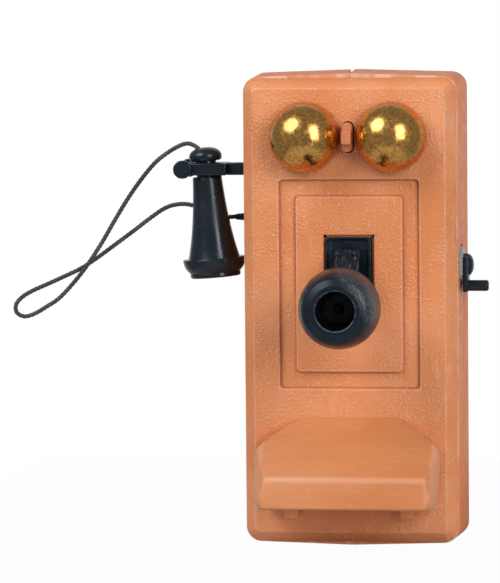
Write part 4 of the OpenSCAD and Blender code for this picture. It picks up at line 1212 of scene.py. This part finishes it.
# Painted highlight along the crease where the front turns under.
crease_highlight = away(tree, z, MIDDLE.z + (SHELF_TOP - CREASE_DOWN) * MM)
crease_highlight = between(tree, crease_highlight, 1.0 * MM, 0.1 * MM, 0.0, 0.32)
in_front = between(tree, y, (FACE_Y - 11.2) * MM, (FACE_Y - 12.2) * MM)
tint = stain(tree, tint, times(tree, crease_highlight, in_front), (0.84, 0.47, 0.29))
# Painted highlight on the outer side strips.
outer = between(tree, away(tree, x), 17.6 * MM, 18.6 * MM)
tint = stain(tree, tint, outer, (0.74, 0.42, 0.28), 0.3)
specks = use(tree, dust, Vector=space, Scale=1200.0, Share=0.04)["Mask"]
tint = stain(tree, tint, specks, (0.9, 0.72, 0.6), 0.35)
tree.links.new(tint, shader.inputs["Base Color"])
tree.links.new(between(tree, brushed, 0.3, 0.7, 0.34, 0.5), shader.inputs["Roughness"])
skin = use(tree, peel, Vector=space)["Height"]
bump(tree, shader, times_plus(tree, strokes, 0.3, times(tree, skin, 0.35)), 0.03)
print("desk finish ready")

# %% [markdown]
# ## The horn's marks, painted highlights and painted shade
#
# The horn has more marks than the other black pieces: rings from its mould's
# lathe, hair-thin streaks down its right flank painted paler as a highlight, a
# painted grey highlight on the upper right of its lip, and a painted highlight line
# round the brim of the bore. The bore itself is matt, and tinted almost black as
# painted shade. All are found in a space that is centred on the horn's axis.

# %% Streaks, painted highlights and the bore's painted shade
GREY = (0.2, 0.21, 0.22)


def horn_marks(tree, space, skin, tint, height):
    """The horn's tint and height with its marks, painted highlights and painted shade, and a mask
    of the inside of the bore.
    """
    centre = at(0, CUP_Y, CUP_Z)
    centred = stretched(tree, space, (1.0, 1.0, 1.0), shift=tuple(-v for v in centre))
    x, y, z = axes_of(tree, centred)
    far = off_axis(tree, centred)
    turning = use(tree, rings, Vector=centred, Ring_Scale=4200.0)["Height"]
    streaks_with_painted_highlight = noise(tree, stretched(tree, centred, (1.0, 1.0, 0.07)), 5200.0, 2.0, 0.5)
    streaks_with_painted_highlight = times(tree, between(tree, streaks_with_painted_highlight, 0.47, 0.66), between(tree, x, 5.5 * MM, 6.8 * MM))
    # Painted highlight on the streaks of the right flank.
    tint = stain(tree, tint, streaks_with_painted_highlight, GREY, 0.3)
    # Painted shade: the deep bore is tinted almost black.
    inside = times(tree, between(tree, far, (BORE_R + 0.15) * MM, (BORE_R + 0.02) * MM),
                   between(tree, y, -(MOUTH_L + 0.3) * MM, -(MOUTH_L - 0.4) * MM))
    tint = stain(tree, tint, inside, (0.0008, 0.001, 0.002))
    # Painted highlight on the upper right of the lip.
    aslant = times_plus(tree, z, 0.6, times(tree, x, 0.8))
    upper_right_highlight = times(tree, between(tree, aslant, 3.2 * MM, 6.2 * MM),
                 between(tree, far, 4.6 * MM, 5.6 * MM))
    upper_right_highlight = times(tree, upper_right_highlight, times_plus(tree, skin["Crest Highlights"], 0.8, 0.15))
    tint = stain(tree, tint, upper_right_highlight, (0.13, 0.14, 0.145))
    # Painted highlight line round the brim of the bore, broken into patches.
    brim_highlight = between(tree, away(tree, far, (BORE_R + 0.2) * MM), 0.16 * MM, 0.04 * MM)
    patchy = between(tree, noise(tree, space, 700.0, 2.0), 0.45, 0.6, 0.1, 0.6)
    tint = stain(tree, tint, times(tree, brim_highlight, patchy), (0.16, 0.18, 0.2))
    for layer, share in ((turning, 0.8), (streaks_with_painted_highlight, 0.5), (skin["Height"], 0.9)):
        height = times_plus(tree, layer, share, height)
    return tint, height, inside


# %% [markdown]
# ## Black plastic
#
# The mouthpiece, receiver, hook and crank are a blue-black plastic with a soft
# shine. Handling leaves smears, which change only the roughness, a few hair
# scratches and some dust. The transmitter's stem also has pale upright streaks,
# a painted highlight.

# %% The black finishes
def black_plastic(name, roughness, horn=False, dusty=0.1, shine=0.42, upright=0.0):
    """A black: with the horn's marks or not, how dusty and glossy, how strong its painted upright
    highlight streaks.
    """
    material, tree, shader, space = finish(name, (0.008, 0.011, 0.016), roughness,
                                           Specular_IOR_Level=shine,
                                           Specular_Tint=(0.84, 0.93, 1.0, 1.0))
    marks = use(tree, hair, Vector=space, Scale=1300.0, Share=0.7)["Mask"]
    specks = use(tree, dust, Vector=space, Scale=1900.0, Share=dusty)["Mask"]
    skin = use(tree, peel, Vector=space, Bump_Scale=3400.0)
    smear = between(tree, noise(tree, space, 160.0, 4.0, 0.6), 0.35, 0.7, roughness - 0.07,
                    roughness + 0.1)
    rough = times_plus(tree, marks, 0.15, smear)
    tint = blend(tree, noise(tree, space, 300.0, 2.0), (0.004, 0.009, 0.014),
                 (0.008, 0.014, 0.021))
    tint = stain(tree, tint, specks, (0.3, 0.31, 0.32), 0.3)
    tint = stain(tree, tint, marks, GREY, 0.12)
    height = times_plus(tree, marks, -0.4, times(tree, skin["Height"], 0.5))
    if upright:
        # Painted highlight in upright streaks on the stem.
        streaks_with_painted_highlight = noise(tree, stretched(tree, space, (1.0, 0.12, 0.12)), 2600.0, 2.0)
        streaks_with_painted_highlight = between(tree, streaks_with_painted_highlight, 0.52, 0.66, 0.0, upright)
        tint = stain(tree, tint, streaks_with_painted_highlight, (0.09, 0.1, 0.11))
    if horn:
        tint, height, inside = horn_marks(tree, space, skin, tint, height)
        rough = higher(tree, between(tree, inside, 0.0, 1.0, 0.0, 0.5), rough)
    tree.links.new(rough, shader.inputs["Roughness"])
    tree.links.new(tint, shader.inputs["Base Color"])
    bump(tree, shader, height, 0.014)
    return material


black_finish = black_plastic("black_plastic", 0.24)
horn_finish = black_plastic("horn_plastic", 0.3, horn=True, dusty=0.12, shine=0.26)
stem_finish = black_plastic("stem_plastic", 0.4, shine=0.16, upright=0.6)
print("black finishes ready")

# %% [markdown]
# ## Brass
#
# The bells are polished brass, a dark gold with soft spots of tarnish. It is
# metal, so its colour is the colour of its reflections. Fine scratches and a
# mottled roughness break the reflections up, as on metal that has been wiped.

# %% The brass finish
brass_finish, tree, shader, space = finish("bell_brass", (0.6, 0.38, 0.11), 0.16, Metallic=1.0)
cloud = between(tree, noise(tree, space, 1500.0, 5.0, 0.7), 0.3, 0.7)
pits = use(tree, dust, Vector=space, Scale=2300.0, Share=0.42)["Mask"]
marks = use(tree, hair, Vector=space, Scale=1500.0, Share=1.0)["Mask"]
tint = blend(tree, cloud, (0.42, 0.205, 0.043), (0.8, 0.435, 0.125))
tint = stain(tree, tint, pits, (0.16, 0.09, 0.02), 0.6)
tint = stain(tree, tint, marks, (0.95, 0.8, 0.5), 0.35)
tree.links.new(tint, shader.inputs["Base Color"])
patchy = between(tree, noise(tree, space, 900.0, 4.0, 0.6), 0.35, 0.7, 0.16, 0.32)
tree.links.new(times_plus(tree, marks, 0.12, patchy), shader.inputs["Roughness"])
bump(tree, shader, times_plus(tree, marks, -0.6, noise(tree, space, 1600.0, 2.0)), 0.0016)
print("brass ready")

# %% [markdown]
# ## Steel, rubber, grey plastic and thread
#
# The inner works are plain turned steel and a light grey moulded wheel. The sleeve
# is matt rubber. The cord is black thread: its lobes already show the twist, so
# its material adds only fine fibres, some wear and the sheen of cloth.

# %% Steel and the grey wheel
steel_finish, tree, shader, space = finish("steel", (0.55, 0.55, 0.56), 0.3, Metallic=1.0)
marks = use(tree, hair, Vector=space, Scale=1800.0, Share=0.8)["Mask"]
patchy = between(tree, noise(tree, space, 700.0, 3.0), 0.3, 0.7, 0.24, 0.4)
tree.links.new(times_plus(tree, marks, 0.2, patchy), shader.inputs["Roughness"])
bump(tree, shader, noise(tree, stretched(tree, space, (1.0, 0.1, 1.0)), 4000.0), 0.004)

wheel_finish, tree, shader, space = finish("wheel_plastic", (0.42, 0.43, 0.44), 0.38)
skin = use(tree, peel, Vector=space, Bump_Scale=2600.0)["Height"]
specks = use(tree, dust, Vector=space, Scale=1500.0, Share=0.3)["Mask"]
tint = blend(tree, noise(tree, space, 500.0, 3.0), (0.36, 0.37, 0.38), (0.5, 0.51, 0.52))
tint = stain(tree, tint, specks, (0.12, 0.12, 0.13), 0.5)
tree.links.new(tint, shader.inputs["Base Color"])
bump(tree, shader, skin, 0.02)
print("steel and wheel ready")

# %% Rubber and thread
RUBBER = (0.02, 0.022, 0.026)
rubber_finish, tree, shader, space = finish("sleeve_rubber", RUBBER, 0.6)
skin = use(tree, peel, Vector=space, Bump_Scale=3800.0)["Height"]
specks = use(tree, dust, Vector=space, Scale=1400.0, Share=0.15)["Mask"]
tint = stain(tree, RUBBER, specks, (0.25, 0.25, 0.25), 0.3)
tree.links.new(tint, shader.inputs["Base Color"])
bump(tree, shader, skin, 0.02)

thread_finish, tree, shader, space = finish("cord_fabric", (0.035, 0.036, 0.04), 0.75,
                                            Sheen_Weight=0.25, Sheen_Roughness=0.5)
fibres = noise(tree, space, 5200.0, 3.0, 0.6)
patchy = between(tree, noise(tree, space, 320.0, 2.0), 0.4, 0.7)
tint = blend(tree, between(tree, fibres, 0.4, 0.7), (0.018, 0.019, 0.021),
             (0.085, 0.085, 0.088))
tint = stain(tree, tint, patchy, (0.13, 0.13, 0.125), 0.35)
tree.links.new(tint, shader.inputs["Base Color"])
bump(tree, shader, fibres, 0.05)
print("all finishes ready")

# %% [markdown]
# ## Dress every piece
#
# Each new piece gets its finish. The frame's own nodes that still show, such as
# screws and pins, get a real finish in their slots.

# %% Give out the finishes
def dress(piece, material):
    piece.data.materials.clear()
    piece.data.materials.append(material)


for piece in (cover, cover_posts):
    dress(piece, cover_finish)
for piece in (left_shell, right_shell):
    dress(piece, shell_finish)
dress(desk_feet, cover_finish)
dress(striker, striker_finish)
dress(desk, desk_finish)
dress(stem, stem_finish)
for piece in (mount, mount_ears, cup, handle, crown, ear, fork, hook_bar, lever,
              crank_grip):
    dress(piece, black_finish)
for piece in (horn, bore_dome):
    dress(piece, horn_finish)
for piece in (bell_left, bell_right):
    dress(piece, brass_finish)
dress(cord, thread_finish)
dress(cord_collar, rubber_finish)

carried = {"back_plate": back_finish, "hinge_pin": black_finish, "toothed_wheel": wheel_finish,
           "crank_bearing": wheel_finish}
for name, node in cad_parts.items():
    for held in node.material_slots:
        held.material = carried.get(name, steel_finish)
print("dressed", len(bpy.data.materials), "materials")

# %% [markdown]
# ## Floor, light and surroundings
#
# The telephone stands before a white surround in a plain studio. A pale board lies
# under it: the camera sees it white, but it keeps the shadow. One round soft light
# stands high on the left and one tall soft light to the right. The room in front
# is dim, which is what gives the brass its dark gold.

# %% The board
def white_to_the_eye(tree, seen, real, kept=0.975):
    """Mix a white that the camera sees with the real surface, so that shadows stay."""
    path = put(tree, "ShaderNodeLightPath").outputs
    share = times(tree, path["Is Camera Ray"], kept)
    return put(tree, "ShaderNodeMixShader", {0: share, 1: real, 2: seen}).outputs[0]


bm = bmesh.new()
bmesh.ops.create_grid(bm, x_segments=1, y_segments=1, size=0.5)
board_z = cad_box[0].z - 0.2 * MM
place(bm, Matrix.Translation((0.0, -0.03, board_z)) @ Matrix.Diagonal((0.2, 0.36, 1.0, 1.0)))
mesh = bpy.data.meshes.new("board")
bm.to_mesh(mesh)
bm.free()
board = bpy.data.objects.new("board", mesh)
bpy.context.collection.objects.link(board)
board_finish, tree, shader, space = finish("board_white", (0.6, 0.6, 0.6), 0.9)
glow = put(tree, "ShaderNodeEmission", {"Color": (1, 1, 1, 1), "Strength": 1.0})
outcome = white_to_the_eye(tree, glow.outputs[0], shader.outputs[0])
tree.links.new(outcome, tree.nodes["Material Output"].inputs["Surface"])
board.data.materials.append(board_finish)

# %% The room
world = bpy.data.worlds.new("studio")
world.use_nodes = True
bpy.context.scene.world = world
tree = world.node_tree
tree.nodes.clear()
path = put(tree, "ShaderNodeLightPath").outputs
direction = put(tree, "ShaderNodeTexCoord").outputs["Generated"]
behind = between(tree, axes_of(tree, direction)[1], 0.35, 0.9, 0.0, 0.8)
mirrored = higher(tree, path["Is Glossy Ray"], path["Is Transmission Ray"])
white = higher(tree, path["Is Camera Ray"], times(tree, mirrored, behind))
room = put(tree, "ShaderNodeBackground", {"Color": (0.3, 0.3, 0.306, 1), "Strength": 1.0})
plain = put(tree, "ShaderNodeBackground", {"Color": (1, 1, 1, 1), "Strength": 1.0})
mixed = put(tree, "ShaderNodeMixShader", {0: white, 1: room.outputs[0], 2: plain.outputs[0]})
surface = put(tree, "ShaderNodeOutputWorld")
tree.links.new(mixed.outputs[0], surface.inputs["Surface"])


# %% The lights
LIGHT_FAR = 0.62


def soft_light(name, towards, width, power, height=None):
    """A soft area light that points at the case: round, or upright if it has a height."""
    lamp = bpy.data.lights.new(name, "AREA")
    lamp.shape = "RECTANGLE" if height else "DISK"
    lamp.size = width
    if height:
        lamp.size_y = height
    lamp.energy = power
    light = bpy.data.objects.new(name, lamp)
    light.location = at(0, FACE_Y, 0) + Vector(towards).normalized() * LIGHT_FAR
    light.rotation_euler = Vector(towards).to_track_quat("Z", "Y").to_euler()
    bpy.context.collection.objects.link(light)


soft_light("key_light", (-0.55, -0.5, 0.66), 0.42, 2.35)
soft_light("side_light", (0.64, -0.74, 0.35), 0.25, 2.2, height=0.44)
bpy.context.scene.view_settings.view_transform = "Standard"
